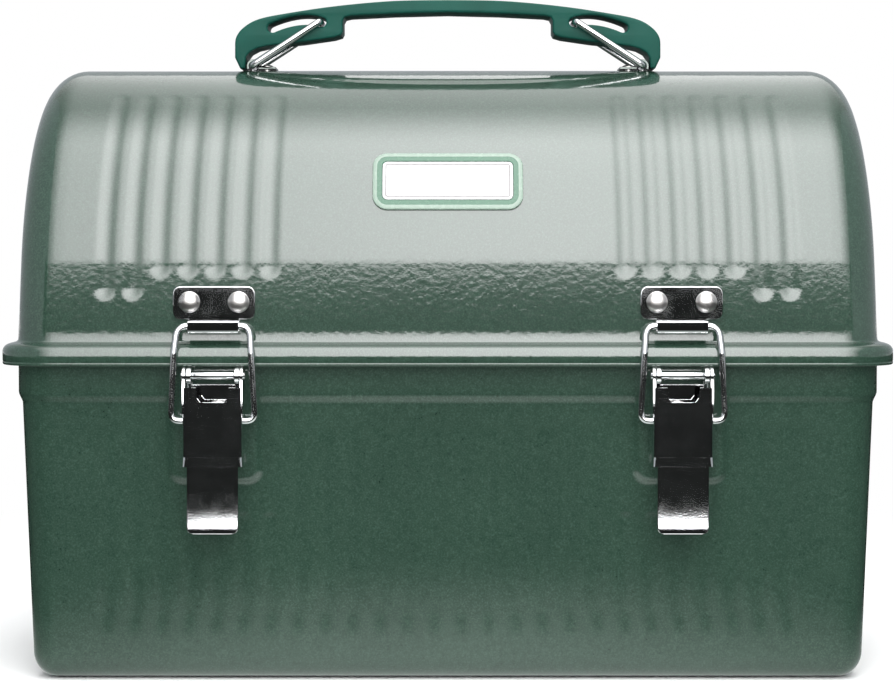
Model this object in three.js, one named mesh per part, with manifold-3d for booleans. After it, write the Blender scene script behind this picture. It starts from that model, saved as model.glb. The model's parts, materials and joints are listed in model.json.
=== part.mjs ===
// Domed steel lunch box: a deep pressed base, a barrel-topped lid on two rear hinges, two wire-loop
// draw latches, a low-profile carrying handle that lifts on two wire struts, and a wire bottle bail
// inside the lid.
// Millimetres, +Z up, +X to the right, -Y towards the latches. The origin is the middle of the
// base's flat underside.

import * as THREE from 'three';
import { mergeVertices } from 'three/addons/utils/BufferGeometryUtils.js';
import Module from 'manifold-3d';

const wasm = await Module();
wasm.setup();

// ---------------------------------------------------------------- driving dimensions

// Pressed shells
const WALL_W = 326; // upper wall, side to side
const WALL_D = 153; // upper wall, front to back
const HALF_W = WALL_W / 2;
const HALF_D = WALL_D / 2;
const SHEET = 0.8; // steel sheet
const CORNER_R = 15; // upright corners, and the dome's end edges
const RIM_Z = 119.6; // lower edge of the lid's skirt
const DOME_Z = RIM_Z + 38.1; // height of the dome's axis
const LID_DRAFT = 0.045; // how far each end wall of the lid leans in, per mm of height
const BASE_TAPER = 3.8; // how far the lower body closes in towards the bottom
const BOTTOM_R = 9.4; // rolled edge round the underside
const SHOULDER_STEP = 1.5; // how far the band under the rim stands proud of the lower body
const SHOULDER_TOP = RIM_Z - 10.4; // lower edge of that band
const SHOULDER_H = 4.5; // height of the slope under it
const SKIRT_OUT = 6; // lid skirt proud of the wall
const SKIRT_H = 10.3; // skirt and the shelf above it
const RIM_PLAY = 0.8; // between the skirt and the base's rim
const RIM_OUT = SKIRT_OUT - SHEET - RIM_PLAY; // curled rim of the base, inside the skirt
const RIM_H = 6.7; // top of the base's rim above the skirt's edge

// Pressed grooves, front and back
const GROOVE_COUNT = 26;
const GROOVE_MARGIN = 34.25; // side wall to the middle of the first groove
const GROOVE_PITCH = (WALL_W - 2 * GROOVE_MARGIN) / (GROOVE_COUNT - 1);
const GROOVE_W = 7.5;
const GROOVE_DEPTH = 0.45;
const GROOVE_LOW = BOTTOM_R + 6.1; // lower ends on the base
const GROOVE_HIGH = SHOULDER_TOP - SHOULDER_H - 8.6; // upper ends on the base
const LID_GROOVES = 7; // at each end of the lid
const LID_GROOVE_TOP = 58; // upper ends, degrees above the dome's axis
const LID_GROOVE_LOW = 5; // lower ends below the dome's axis
const LID_GROOVE_LOWER = 13.3; // the same, for the outermost two

// Bosses behind the latches and hinges
const BOSS_W = 34;
const BOSS_LOW = RIM_Z - 43.7;
const HINGE_BOSS_W = 46;
const HINGE_BOSS_LOW = RIM_Z - 30.7;
const BOSS_R = 5; // corners
const BOSS_TO_GROOVE = 10.9; // from a boss down to the grooves below it

// Raised pad under the handle
const PAD_HALF_L = 86;
const PAD_HALF_W = 31;
const PAD_POWER = 2.4; // squareness of its outline; 2 is an ellipse
const PAD_R = HALF_D + 7.5; // its flatter crown
const PAD_PROUD = 0.2; // at the crest

// Sheet-metal fittings
const GAP = 0.3; // between fitted pieces
const LEAF = 1; // thickness of the plated steel fittings
const LATCH_X = HALF_W - 75.7; // latch centres, either side
const HINGE_X = HALF_W - 68; // hinge centres, either side

// Keeper on the lid
const KEEPER_W = 30.7;
const KEEPER_H = 12.4;
const KEEPER_LOW = RIM_Z + 17.3;
const KEEPER_RIVET_X = 9.2;
const HOOK_W = 19.1;
const HOOK_LOW = KEEPER_LOW - 5.5;
const HOOK_TIP = KEEPER_LOW - 0.6;

// Latch lever and its hinge
const LATCH_PIN_D = 3;
const LATCH_PIN_Z = RIM_Z - 3.4;
const LATCH_PIN_Y = HALF_D + SKIRT_OUT;
const LATCH_PIN_HALF = 12;
const EAR_R = 3.1;
const PLATE_EAR_IN = 8; // inner face of the plate's ears
const PLATE_EAR_OUT = 9.9;
const LEVER_W = 22.4;
const LEVER_FACE_Y = LATCH_PIN_Y + 4.1; // front of the closed lever
const LEVER_TOP = LATCH_PIN_Z - 4.3;
const LEVER_STEP = LATCH_PIN_Z - 33.7; // where the side flanges stop
const LEVER_TIP = LATCH_PIN_Z - 58.5;
const LEVER_TIP_R = 2.1; // corners of the tail
const LEVER_FLARE = 1.6; // how far the tip stands out
const LEVER_TAIL_W = 19.2;
const LEVER_NOTCH_W = 12.2;
const LEVER_NOTCH_LOW = LEVER_TOP - 5.5;
const LATCH_PLATE_W = 17;
const LATCH_PLATE_LOW = BOSS_LOW + 3;

// Latch loop
const LOOP_WIRE = 2.6;
const LOOP_TOP_Z = HOOK_LOW + 3; // its bar in the hook
const LOOP_TOP_Y = HALF_D + 3.8;
const LOOP_BAR_Z = LATCH_PIN_Z - 16.8; // its ends in the lever
const LOOP_BAR_Y = LATCH_PIN_Y + 1.1;
const LOOP_CROOK_Z = RIM_Z + 5.7; // its bend in front of the rim
const LOOP_CROOK_Y = HALF_D + SKIRT_OUT + LOOP_WIRE / 2 + 2 * GAP;
const LOOP_TOP_HALF = 13.5;
const LOOP_LOW_HALF = 15.7;
const LOOP_BEND = 4;

// Rear hinges
const HINGE_W = 40;
const HINGE_PIN_D = 3;
const HINGE_PIN_Z = RIM_Z - 0.2;
const HINGE_MIDDLE = 19.4; // lid's knuckle, between the base's two
const HINGE_LEAF_LOW = HINGE_BOSS_LOW + 4;
const HINGE_LEAF_HIGH = RIM_Z + 29.3;
const HINGE_RIVET_X = 12;

// Handle and struts
const HANDLE_DEPTH = 20;
const HANDLE_RISE = 28; // top of the handle above the lid's crest, at rest
const HANDLE_HALF = 85;
const GRIP_T = 4.9; // thickness in the middle of the grip
const POD_IN = 41.9; // inner ends of the thick pods
const STRUT_WIRE = 2.7;
const STRUT_X = 77.9; // strut pivots, either side
const STRUT_RISE = STRUT_WIRE / 2 + 0.35; // pivot above the pad
const STRUT_BAR_X = 50.95; // cross bar in the handle's slot, at rest
const STRUT_BAR_RISE = 19.3; // the same bar above the lid's crest
const STRUT_OPEN = 75.8; // strut angle with the handle up, degrees
const SLOT_DROP = 2.4; // how much lower the slot's outer end is
const BRACKET_W = HANDLE_DEPTH - 4; // along y, between the struts' arms
const BRACKET_L = 9; // from the strut to the foot's end
const BRACKET_RIVET_X = STRUT_X - 5.4;
const BRACKET_RIVETS = [-5, 5]; // along y

// Badge, blank
const BADGE_W = 56.5;
const BADGE_H = 23;
const BADGE_RIM = 4;
const BADGE_R = 5.6; // outer corners
const BADGE_PANEL_R = 3;
const BADGE_FRAME_H = 1.4; // height off the lid
const BADGE_PLATE_H = 1.1;
const BADGE_ANGLE = 23.8; // above the dome's axis, degrees

// Bottle bail inside the lid
const BAIL_WIRE = 3;
const BAIL_HALF = 62; // its pivots, either side
const BAIL_WIDE = BAIL_HALF + 8; // its arms
const BAIL_NOSE = 30; // half its front run
const BAIL_Z = RIM_Z + 19.3;
const BAIL_REAR_Y = HALF_D - 8;
const BAIL_FRONT_Y = -(HALF_D - 10.5);
const BAIL_PIVOT_W = 9;
const BAIL_PIVOT_H = 18;
const BAIL_CATCH_W = 14;
const BAIL_CATCH_H = 14;

// Rivets: [head radius, head height, shank radius]
const LATCH_RIVET = [4, 1.9, 1.8];
const PLATE_RIVET = [3, 1.2, 1.5];
const HINGE_RIVET = [3.6, 1.5, 1.6];
const SMALL_RIVET = [2.6, 1, 1.3];

// ---------------------------------------------------------------- worked-out sizes

const CREST = DOME_Z + HALF_D;
const HANDLE_TOP = CREST + HANDLE_RISE;
const STRUT_BAR_Z = CREST + STRUT_BAR_RISE;
const PAD_TOP = CREST + PAD_PROUD;
const STRUT_Z = PAD_TOP + STRUT_RISE;
const HINGE_PIN_Y = HALF_D + SKIRT_OUT + 0.2 + GAP + HINGE_PIN_D / 2 + GAP + LEAF;
const KNUCKLE_BORE = HINGE_PIN_D / 2 + GAP;
const KNUCKLE_R = KNUCKLE_BORE + LEAF;
const STRUT_L = Math.hypot(STRUT_X - STRUT_BAR_X, STRUT_BAR_Z - STRUT_Z);
const STRUT_REST = Math.atan2(STRUT_BAR_Z - STRUT_Z, STRUT_X - STRUT_BAR_X);
const STRUT_TURN = THREE.MathUtils.degToRad(STRUT_OPEN) - STRUT_REST;
const LIFT = STRUT_L * (Math.sin(STRUT_REST + STRUT_TURN) - Math.sin(STRUT_REST)) + SLOT_DROP;


// Places of the rivet rows
const LATCH_PLATE_RIVETS = [LATCH_PLATE_LOW + 7, LATCH_PIN_Z - 13.1];
const KEEPER_RIVETS = [-KEEPER_RIVET_X, KEEPER_RIVET_X];
const KEEPER_RIVET_Z = KEEPER_LOW + KEEPER_H / 2 + 0.3;
const HINGE_RIVETS = [-HINGE_RIVET_X, HINGE_RIVET_X];
const HINGE_RIVET_INSET = 6.5; // from a leaf's end
const HINGE_BASE_RIVET_Z = HINGE_LEAF_LOW + HINGE_RIVET_INSET;
const HINGE_LID_RIVET_Z = HINGE_LEAF_HIGH - HINGE_RIVET_INSET;

// ---------------------------------------------------------------- materials

const paint = (colour, roughness, metalness) =>
  new THREE.MeshStandardMaterial({ color: colour, roughness, metalness });

const GREEN_PAINT = paint(0x3f6350, 0.35, 0.3);
const GRIP_PLASTIC = paint(0x1f5f4c, 0.5, 0);
const CHROME = paint(0xd8d9da, 0.12, 1);
const RIVET_STEEL = paint(0xb9b6b2, 0.35, 1);
const BADGE_WHITE = paint(0xf0f2ee, 0.3, 0);
const BADGE_GREEN = paint(0x6ea98a, 0.35, 0);

// ---------------------------------------------------------------- building tools

const ARC_STEPS = 2; // three.js puts twice as many flats as this on each arc

const at = (x, y, z) => new THREE.Vector3(x, y, z);

// A boolean solid from a closed three.js geometry.
function solid(geometry) {
  const plain = geometry.index ? geometry.toNonIndexed() : geometry.clone();
  plain.deleteAttribute('normal');
  plain.deleteAttribute('uv');
  const merged = mergeVertices(plain, 1e-5);
  const mesh = new wasm.Mesh({
    numProp: 3,
    vertProperties: new Float32Array(merged.attributes.position.array),
    triVerts: new Uint32Array(merged.index.array),
  });
  return new wasm.Manifold(mesh);
}

// The three.js geometry of a boolean solid.
function geometryOf(body) {
  const mesh = body.getMesh();
  const geometry = new THREE.BufferGeometry();
  geometry.setAttribute('position', new THREE.BufferAttribute(new Float32Array(mesh.vertProperties), 3));
  geometry.setIndex(new THREE.BufferAttribute(new Uint32Array(mesh.triVerts), 1));
  geometry.computeVertexNormals();
  return geometry;
}

const join = (bodies) => bodies.reduce((whole, body) => whole.add(body));
const cutAll = (body, cutters) => cutters.reduce((left, cutter) => left.subtract(cutter), body);

// Signed volume, to tell which way a closed triangle list faces.
function signedVolume(points, faces) {
  const cross = at(0, 0, 0);
  return faces.reduce((sum, [a, b, c]) => {
    cross.crossVectors(points[b], points[c]);
    return sum + points[a].dot(cross) / 6;
  }, 0);
}

// A closed skin through convex rings that all have the same number of points.
function loft(rings) {
  const count = rings[0].length;
  const points = rings.flat();
  const faces = [];
  for (let ring = 0; ring + 1 < rings.length; ring += 1) {
    for (let i = 0; i < count; i += 1) {
      const a = ring * count + i;
      const b = ring * count + ((i + 1) % count);
      faces.push([a, b, b + count], [a, b + count, a + count]);
    }
  }
  const last = (rings.length - 1) * count;
  for (let i = 1; i + 1 < count; i += 1) {
    faces.push([0, i + 1, i], [last, last + i, last + i + 1]);
  }
  const outward = signedVolume(points, faces) > 0;
  const order = faces.flatMap(([a, b, c]) => (outward ? [a, b, c] : [a, c, b]));
  const geometry = new THREE.BufferGeometry().setFromPoints(points);
  geometry.setIndex(order);
  return geometry;
}

// A flat shape drawn across (y, z), extruded evenly either side of x = centre.
function extrudeX(shape, width, centre = 0) {
  const options = { depth: width, bevelEnabled: false, curveSegments: ARC_STEPS };
  const geometry = new THREE.ExtrudeGeometry(shape, options);
  const basis = new THREE.Matrix4().makeBasis(at(0, 1, 0), at(0, 0, 1), at(1, 0, 0));
  return geometry.applyMatrix4(basis).translate(centre - width / 2, 0, 0);
}

// A flat shape drawn across (x, z), extruded from y = from to y = to.
function extrudeY(shape, from, to) {
  const options = { depth: to - from, bevelEnabled: false, curveSegments: ARC_STEPS };
  const geometry = new THREE.ExtrudeGeometry(shape, options);
  const basis = new THREE.Matrix4().makeBasis(at(1, 0, 0), at(0, 0, 1), at(0, -1, 0));
  return geometry.applyMatrix4(basis).translate(0, to, 0);
}

// A rectangle with round corners, centred on (x, y).
function roundedShape(width, height, radius, x = 0, y = 0) {
  const shape = new THREE.Shape();
  const w = width / 2 - radius;
  const h = height / 2 - radius;
  shape.absarc(x + w, y + h, radius, 0, Math.PI / 2);
  shape.absarc(x - w, y + h, radius, Math.PI / 2, Math.PI);
  shape.absarc(x - w, y - h, radius, Math.PI, 1.5 * Math.PI);
  shape.absarc(x + w, y - h, radius, 1.5 * Math.PI, 2 * Math.PI);
  return shape;
}

// The outline of a sheet of even thickness bent along a line of corners.
function bentSheet(corners, thickness) {
  const side = (sign) => corners.map(([u, v], i) => {
    const before = corners[Math.max(i - 1, 0)];
    const after = corners[Math.min(i + 1, corners.length - 1)];
    const into = new THREE.Vector2(u - before[0], v - before[1]).normalize();
    const out = new THREE.Vector2(after[0] - u, after[1] - v).normalize();
    const along = into.clone().add(out).normalize();
    const straight = into.lengthSq() > 0 ? into : out;
    const reach = thickness / 2 / Math.max(along.dot(straight), 0.3);
    return new THREE.Vector2(u - sign * along.y * reach, v + sign * along.x * reach);
  });
  return new THREE.Shape([...side(1), ...side(-1).reverse()]);
}

// A round rod along x.
function rodX(radius, length, x, y, z, sides = 10) {
  const geometry = new THREE.CylinderGeometry(radius, radius, length, sides);
  return geometry.rotateZ(Math.PI / 2).translate(x, y, z);
}

// A round rod along y.
function rodY(radius, length, x, y, z, sides = 8) {
  return new THREE.CylinderGeometry(radius, radius, length, sides).translate(x, y, z);
}

// A wire of round section along a path of straight runs with rounded bends.
function bentWire(corners, diameter, bend, sides = 7) {
  const path = new THREE.CurvePath();
  let from = corners[0];
  for (let i = 1; i + 1 < corners.length; i += 1) {
    const into = corners[i].clone().sub(corners[i - 1]).normalize();
    const out = corners[i + 1].clone().sub(corners[i]).normalize();
    const turn = into.angleTo(out);
    const back = bend * Math.tan(turn / 2);
    const start = corners[i].clone().addScaledVector(into, -back);
    const end = corners[i].clone().addScaledVector(out, back);
    path.add(new THREE.LineCurve3(from, start));
    path.add(new THREE.QuadraticBezierCurve3(start, corners[i], end));
    from = end;
  }
  path.add(new THREE.LineCurve3(from, corners[corners.length - 1]));
  return sweep(pathPoints(path), diameter / 2, sides);
}

// The path's own corners: the ends of its straight runs and a few points round each bend.
function pathPoints(path) {
  const points = [path.curves[0].getPoint(0)];
  for (const curve of path.curves) {
    const steps = curve.isLineCurve3 ? 1 : 3;
    for (let i = 1; i <= steps; i += 1) points.push(curve.getPoint(i / steps));
  }
  return points.filter((point, i) => i === 0 || point.distanceTo(points[i - 1]) > 1e-4);
}

// A round tube with closed ends through a list of points, turned as little as possible on the way.
function sweep(points, radius, sides) {
  const heading = (i) => {
    const a = points[Math.max(i - 1, 0)];
    const b = points[Math.min(i + 1, points.length - 1)];
    return b.clone().sub(a).normalize();
  };
  let along = heading(0);
  let up = Math.abs(along.z) > 0.8 ? at(1, 0, 0) : at(0, 0, 1);
  up.addScaledVector(along, -up.dot(along)).normalize();
  const rings = points.map((point, i) => {
    const next = heading(i);
    up = up.clone().applyQuaternion(new THREE.Quaternion().setFromUnitVectors(along, next));
    along = next;
    const across = at(0, 0, 0).crossVectors(along, up);
    return Array.from({ length: sides }, (_, k) => {
      const angle = ((k + 0.5) / sides) * 2 * Math.PI;
      return point.clone()
        .addScaledVector(up, radius * Math.cos(angle))
        .addScaledVector(across, radius * Math.sin(angle));
    });
  });
  return loft(rings);
}

const group = new THREE.Group();
group.name = 'domed_lunch_box';

function addPiece(name, shape, material) {
  const geometry = shape.isBufferGeometry ? shape : geometryOf(shape);
  geometry.computeVertexNormals();
  const mesh = new THREE.Mesh(geometry, material);
  mesh.name = name;
  group.add(mesh);
}

// ---------------------------------------------------------------- rivets

// A rivet along y. Its head faces `front` (-1 or 1), its shank runs from y = seat through `grip`,
// and a low tail closes the far side.
function rivet([headR, headH, shankR], grip, x, seat, z, front) {
  const profile = [
    [0, headH], [headR * 0.6, headH * 0.8], [headR, 0],
    [shankR, 0], [shankR, -grip], [shankR * 1.6, -grip], [0, -grip - 0.8],
  ].map(([r, h]) => new THREE.Vector2(r, h));
  const geometry = new THREE.LatheGeometry(profile.reverse(), 8);
  if (front < 0) geometry.rotateX(Math.PI);
  return geometry.translate(x, seat, z);
}

// The hole that a rivet passes through.
const rivetHole = ([, , shankR], x, y, z) => solid(rodY(shankR + GAP, 12, x, y, z));

// The same for a small upright rivet.
function uprightHole(x, y, z) {
  const radius = SMALL_RIVET[2] + GAP;
  return solid(new THREE.CylinderGeometry(radius, radius, 12, 8).rotateX(Math.PI / 2).translate(x, y, z));
}

// Rivet run from just outside a fitting to just inside the sheet.
const RIVET_GRIP = SHEET + GAP + LEAF + 2 * GAP;

// ---------------------------------------------------------------- base

// A rounded rectangle: the upper wall moved out by `out`, at height z.
function wallRing(out, z) {
  const radius = Math.max(CORNER_R + out, 2);
  const shape = roundedShape(2 * (HALF_W + out), 2 * (HALF_D + out), radius);
  return shape.getPoints(ARC_STEPS).slice(0, -1).map((p) => at(p.x, p.y, z));
}

// How far the lower body is inside the upper wall at height z.
const lowerInset = (z) => SHOULDER_STEP + BASE_TAPER * (1 - z / (SHOULDER_TOP - SHOULDER_H));

// The base as one full block, its faces moved in by `skin`.
function baseBlock(skin, profile) {
  const edge = BOTTOM_R - skin;
  const rings = [];
  for (let step = 0; step <= 4; step += 1) {
    const angle = (step / 4) * (Math.PI / 2);
    const z = BOTTOM_R - edge * Math.cos(angle);
    rings.push(wallRing(-lowerInset(z) - skin - edge * (1 - Math.sin(angle)), z));
  }
  rings.push(wallRing(-SHOULDER_STEP - skin, SHOULDER_TOP - SHOULDER_H));
  rings.push(wallRing(-skin, SHOULDER_TOP));
  profile.forEach(([out, z]) => rings.push(wallRing(out, z)));
  return solid(loft(rings));
}

// The pressed bosses behind the latches (front) and hinges (back), brought out to the upper wall.
const BOSSES = [-1, 1].flatMap((side) => [
  { x: side * LATCH_X, front: true, width: BOSS_W, low: BOSS_LOW },
  { x: side * HINGE_X, front: false, width: HINGE_BOSS_W, low: HINGE_BOSS_LOW },
]);

function bossBlock({ x, front, width, low }, skin) {
  const high = SHOULDER_TOP + 3 - low;
  const shape = roundedShape(width - 2 * skin, high, BOSS_R, x, low + high / 2 + skin);
  const inner = HALF_D - 12;
  const outer = HALF_D - skin;
  return solid(front ? extrudeY(shape, -outer, -inner) : extrudeY(shape, inner, outer));
}

// A groove cutter: a shallow channel with tapering ends, from station to station along a wall.
// `place(s, w, d)` gives the point at s along the groove, w across it and d under the surface.
function channel(stations, place) {
  const proud = 1.5;
  const slope = 1.4;
  const rings = stations.map(([s, half]) => [
    place(s, -half, -proud), place(s, half, -proud),
    place(s, Math.max(half - slope, 0.2), GROOVE_DEPTH), place(s, -Math.max(half - slope, 0.2), GROOVE_DEPTH),
  ]);
  return solid(loft(rings));
}

// Half widths along a groove from s = low to s = high, with rounded ends.
function grooveStations(low, high, inner = []) {
  const r = GROOVE_W / 2;
  const ends = [[0.15, 0.5], [1, 1]];
  const first = ends.map(([s, w]) => [low + r * s, r * w]);
  const last = ends.map(([s, w]) => [high - r * s, r * w]).reverse();
  return [...first, ...inner.map((s) => [s, r]), ...last];
}

const grooveX = (index) => (index - (GROOVE_COUNT - 1) / 2) * GROOVE_PITCH;

// A groove stops short of the shoulder, or of the boss above it.
function grooveTop(x, front) {
  const meets = (boss) => Math.abs(boss.x - x) < (boss.width + GROOVE_W) / 2;
  const over = BOSSES.find((boss) => boss.front === front && meets(boss));
  return over ? over.low - BOSS_TO_GROOVE : GROOVE_HIGH;
}

function baseGrooves() {
  const cutters = [];
  for (const face of [-1, 1]) {
    for (let index = 0; index < GROOVE_COUNT; index += 1) {
      const x = grooveX(index);
      const place = (s, w, d) => at(x + w, face * (HALF_D - lowerInset(s) - d), s);
      cutters.push(channel(grooveStations(GROOVE_LOW, grooveTop(x, face < 0)), place));
    }
  }
  return cutters;
}

function baseShell() {
  const rim = [
    [0, RIM_Z + 0.9], [RIM_OUT, RIM_Z + 1.9],
    [RIM_OUT, RIM_Z + RIM_H - 1.1], [RIM_OUT - 1.1, RIM_Z + RIM_H],
  ];
  let outer = baseBlock(0, rim);
  let inner = baseBlock(SHEET, [[-SHEET, RIM_Z + RIM_H + 2]]);
  for (const boss of BOSSES) {
    outer = outer.add(bossBlock(boss, 0));
    inner = inner.add(bossBlock(boss, SHEET));
  }
  const holes = [];
  for (const side of [-1, 1]) {
    for (const z of LATCH_PLATE_RIVETS) {
      holes.push(rivetHole(PLATE_RIVET, side * LATCH_X, -HALF_D, z));
    }
    for (const x of HINGE_RIVETS) {
      holes.push(rivetHole(HINGE_RIVET, side * HINGE_X + x, HALF_D, HINGE_BASE_RIVET_Z));
    }
  }
  return cutAll(cutAll(outer, baseGrooves()).subtract(inner), holes);
}

// ---------------------------------------------------------------- lid

const DOME_STEPS = 12;
const DOME_STEP = Math.PI / DOME_STEPS;

// The dome's flats run from step to step: how far out they are at an angle above the axis.
function domeReach(angle) {
  const half = DOME_STEP / 2;
  return (HALF_D * Math.cos(half)) / Math.cos((angle % DOME_STEP) - half);
}

// The barrel-topped lid as one full block, its faces moved in by `skin`, open to below `low`.
function domeBlock(skin, low) {
  const half = HALF_W - skin;
  const edge = CORNER_R - skin;
  const section = (x, inset) => {
    const radius = HALF_D - skin - inset;
    const arc = Array.from({ length: DOME_STEPS + 1 }, (_, i) => {
      const angle = i * DOME_STEP;
      return at(x, radius * Math.cos(angle), DOME_Z + radius * Math.sin(angle));
    });
    return [at(x, radius, low), ...arc, at(x, -radius, low)];
  };
  const turns = [0, 1, 2, 3, 4].map((step) => (step / 4) * (Math.PI / 2));
  const endRings = (side) => turns.map((a) => {
    const x = side * (half - edge * (1 - Math.cos(a)));
    return section(x, edge * (1 - Math.sin(a)));
  });
  const rings = [...endRings(-1), ...endRings(1).reverse()];
  const shelf = RIM_Z + SKIRT_H;
  rings.flat().forEach((p) => { p.x *= 1 - (LID_DRAFT / HALF_W) * Math.max(p.z - shelf, 0); });
  return solid(loft(rings));
}

// The skirt and shelf round the lid's mouth, as a full block from profile points [out, above rim].
const skirtBlock = (profile) => solid(loft(profile.map(([out, up]) => wallRing(out, RIM_Z + up))));

const SKIRT_OUTER = [
  [SKIRT_OUT - 0.5, 0], [SKIRT_OUT, 0.8], [SKIRT_OUT, 5.1], [SKIRT_OUT - 0.4, 6.5],
  [SKIRT_OUT - 1.5, 7.8], [SKIRT_OUT - 3.1, 8.7], [1.2, 9.3], [0.25, SKIRT_H], [-0.3, SKIRT_H + 1.2],
];
const SKIRT_INNER = [
  [SKIRT_OUT - SHEET, -1], [SKIRT_OUT - SHEET, 4.9], [SKIRT_OUT - 0.4 - SHEET, 6.1],
  [SKIRT_OUT - 2, 7.1], [SKIRT_OUT - 3.5, 7.9], [0.7, 8.6], [-SHEET - 0.1, 9.7],
];

// The pad's outline is between an ellipse and a rectangle; its crown is a little flatter than the dome.
function handlePad() {
  const outline = Array.from({ length: 32 }, (_, i) => {
    const turn = (i / 32) * 2 * Math.PI;
    const part = (value) => Math.sign(value) * Math.abs(value) ** (2 / PAD_POWER);
    return new THREE.Vector2(PAD_HALF_L * part(Math.cos(turn)), PAD_HALF_W * part(Math.sin(turn)));
  });
  const prism = new THREE.ExtrudeGeometry(new THREE.Shape(outline), { depth: 20, bevelEnabled: false });
  prism.translate(0, 0, CREST - 14);
  const crown = rodX(PAD_R, WALL_W, 0, 0, PAD_TOP - PAD_R, 60);
  return solid(prism).intersect(solid(crown));
}

function lidGrooves() {
  const cutters = [];
  const top = THREE.MathUtils.degToRad(LID_GROOVE_TOP) * HALF_D;
  for (const face of [-1, 1]) {
    for (let index = 0; index < GROOVE_COUNT; index += 1) {
      const x = grooveX(index);
      const fromEnd = Math.min(index, GROOVE_COUNT - 1 - index);
      if (fromEnd >= LID_GROOVES) continue;
      const low = -(fromEnd < 2 ? LID_GROOVE_LOWER : LID_GROOVE_LOW);
      const inner = [0, 1, 2, 3].map((i) => i * DOME_STEP * HALF_D);
      const place = (s, w, d) => {
        const angle = Math.max(s, 0) / HALF_D;
        const reach = domeReach(angle) - d;
        const z = DOME_Z + Math.min(s, 0) + reach * Math.sin(angle);
        return at(x + w, face * reach * Math.cos(angle), z);
      };
      cutters.push(channel(grooveStations(low, top, inner), place));
    }
  }
  return cutters;
}

function lidShell() {
  const outer = domeBlock(0, RIM_Z + 6).add(skirtBlock(SKIRT_OUTER)).add(handlePad());
  const inner = domeBlock(SHEET, RIM_Z + 4).add(skirtBlock(SKIRT_INNER));
  const holes = [];
  for (const side of [-1, 1]) {
    for (const x of KEEPER_RIVETS) {
      holes.push(rivetHole(LATCH_RIVET, side * LATCH_X + x, -HALF_D, KEEPER_RIVET_Z));
    }
    for (const x of HINGE_RIVETS) {
      holes.push(rivetHole(HINGE_RIVET, side * HINGE_X + x, HALF_D, HINGE_LID_RIVET_Z));
    }
    BRACKET_RIVETS.forEach((y) => holes.push(uprightHole(side * BRACKET_RIVET_X, y, CREST)));
  }
  return cutAll(cutAll(outer, lidGrooves()).subtract(inner), holes);
}

// ---------------------------------------------------------------- latches

// Keeper: a riveted plate whose tongue curls forward and up into a hook for the loop.
function keeper(x) {
  const back = -(HALF_D + GAP);
  const front = back - LEAF;
  const plan = roundedShape(KEEPER_W, KEEPER_H, 2, x, KEEPER_LOW + KEEPER_H / 2);
  const plate = extrudeY(plan, front, back);
  const lip = -(LOOP_TOP_Y + LOOP_WIRE / 2 + GAP + LEAF / 2);
  const middle = back - LEAF / 2;
  const curve = bentSheet([
    [middle, KEEPER_LOW + 2], [middle, HOOK_LOW + 1.6], [middle - 0.9, HOOK_LOW + LEAF / 2],
    [lip + 0.9, HOOK_LOW + LEAF / 2], [lip, HOOK_LOW + 1.6], [lip, HOOK_TIP],
  ], LEAF);
  const holes = KEEPER_RIVETS.map((dx) => rivetHole(LATCH_RIVET, x + dx, back, KEEPER_RIVET_Z));
  return cutAll(solid(plate).add(solid(extrudeX(curve, HOOK_W, x))), holes);
}

// Wire loop, drawn flat then bent forward to pass in front of the rim.
function latchLoop(x) {
  const crookHalf = THREE.MathUtils.lerp(LOOP_TOP_HALF, LOOP_LOW_HALF, 0.35);
  const end = LEVER_W / 2 - 3;
  const half = [
    at(end, -LOOP_BAR_Y, LOOP_BAR_Z), at(LOOP_LOW_HALF, -LOOP_BAR_Y, LOOP_BAR_Z),
    at(crookHalf, -LOOP_CROOK_Y, LOOP_CROOK_Z), at(LOOP_TOP_HALF, -LOOP_TOP_Y, LOOP_TOP_Z),
  ];
  const other = half.map((p) => at(-p.x, p.y, p.z)).reverse();
  return bentWire([...half, ...other], LOOP_WIRE, LOOP_BEND).translate(x, 0, 0);
}

// Plate riveted to the boss, with two ears that carry the lever's pin.
function latchPlate(x) {
  const back = -(HALF_D + GAP);
  const front = back - LEAF;
  const top = LATCH_PIN_Z - EAR_R - 0.5;
  const height = top - LATCH_PLATE_LOW;
  const plan = roundedShape(LATCH_PLATE_W, height, 2, x, LATCH_PLATE_LOW + height / 2);
  const plate = extrudeY(plan, front, back);
  const bridge = new THREE.BoxGeometry(2 * PLATE_EAR_OUT, LEAF, 9);
  bridge.translate(x, back - LEAF / 2, top - 4.5);
  const ear = new THREE.Shape();
  ear.moveTo(back, top - 9);
  ear.lineTo(back, top);
  ear.absarc(-LATCH_PIN_Y, LATCH_PIN_Z, EAR_R, 0.35 * Math.PI, 1.25 * Math.PI);
  ear.lineTo(front, top - 9);
  const width = PLATE_EAR_OUT - PLATE_EAR_IN;
  const ears = [-1, 1].map((side) => solid(extrudeX(ear, width, x + side * (PLATE_EAR_IN + width / 2))));
  const bore = solid(rodX(LATCH_PIN_D / 2 + GAP, 30, x, -LATCH_PIN_Y, LATCH_PIN_Z));
  const holes = LATCH_PLATE_RIVETS.map((z) => rivetHole(PLATE_RIVET, x, back, z));
  return cutAll(join([solid(plate), solid(bridge), ...ears]), [bore, ...holes]);
}

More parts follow.
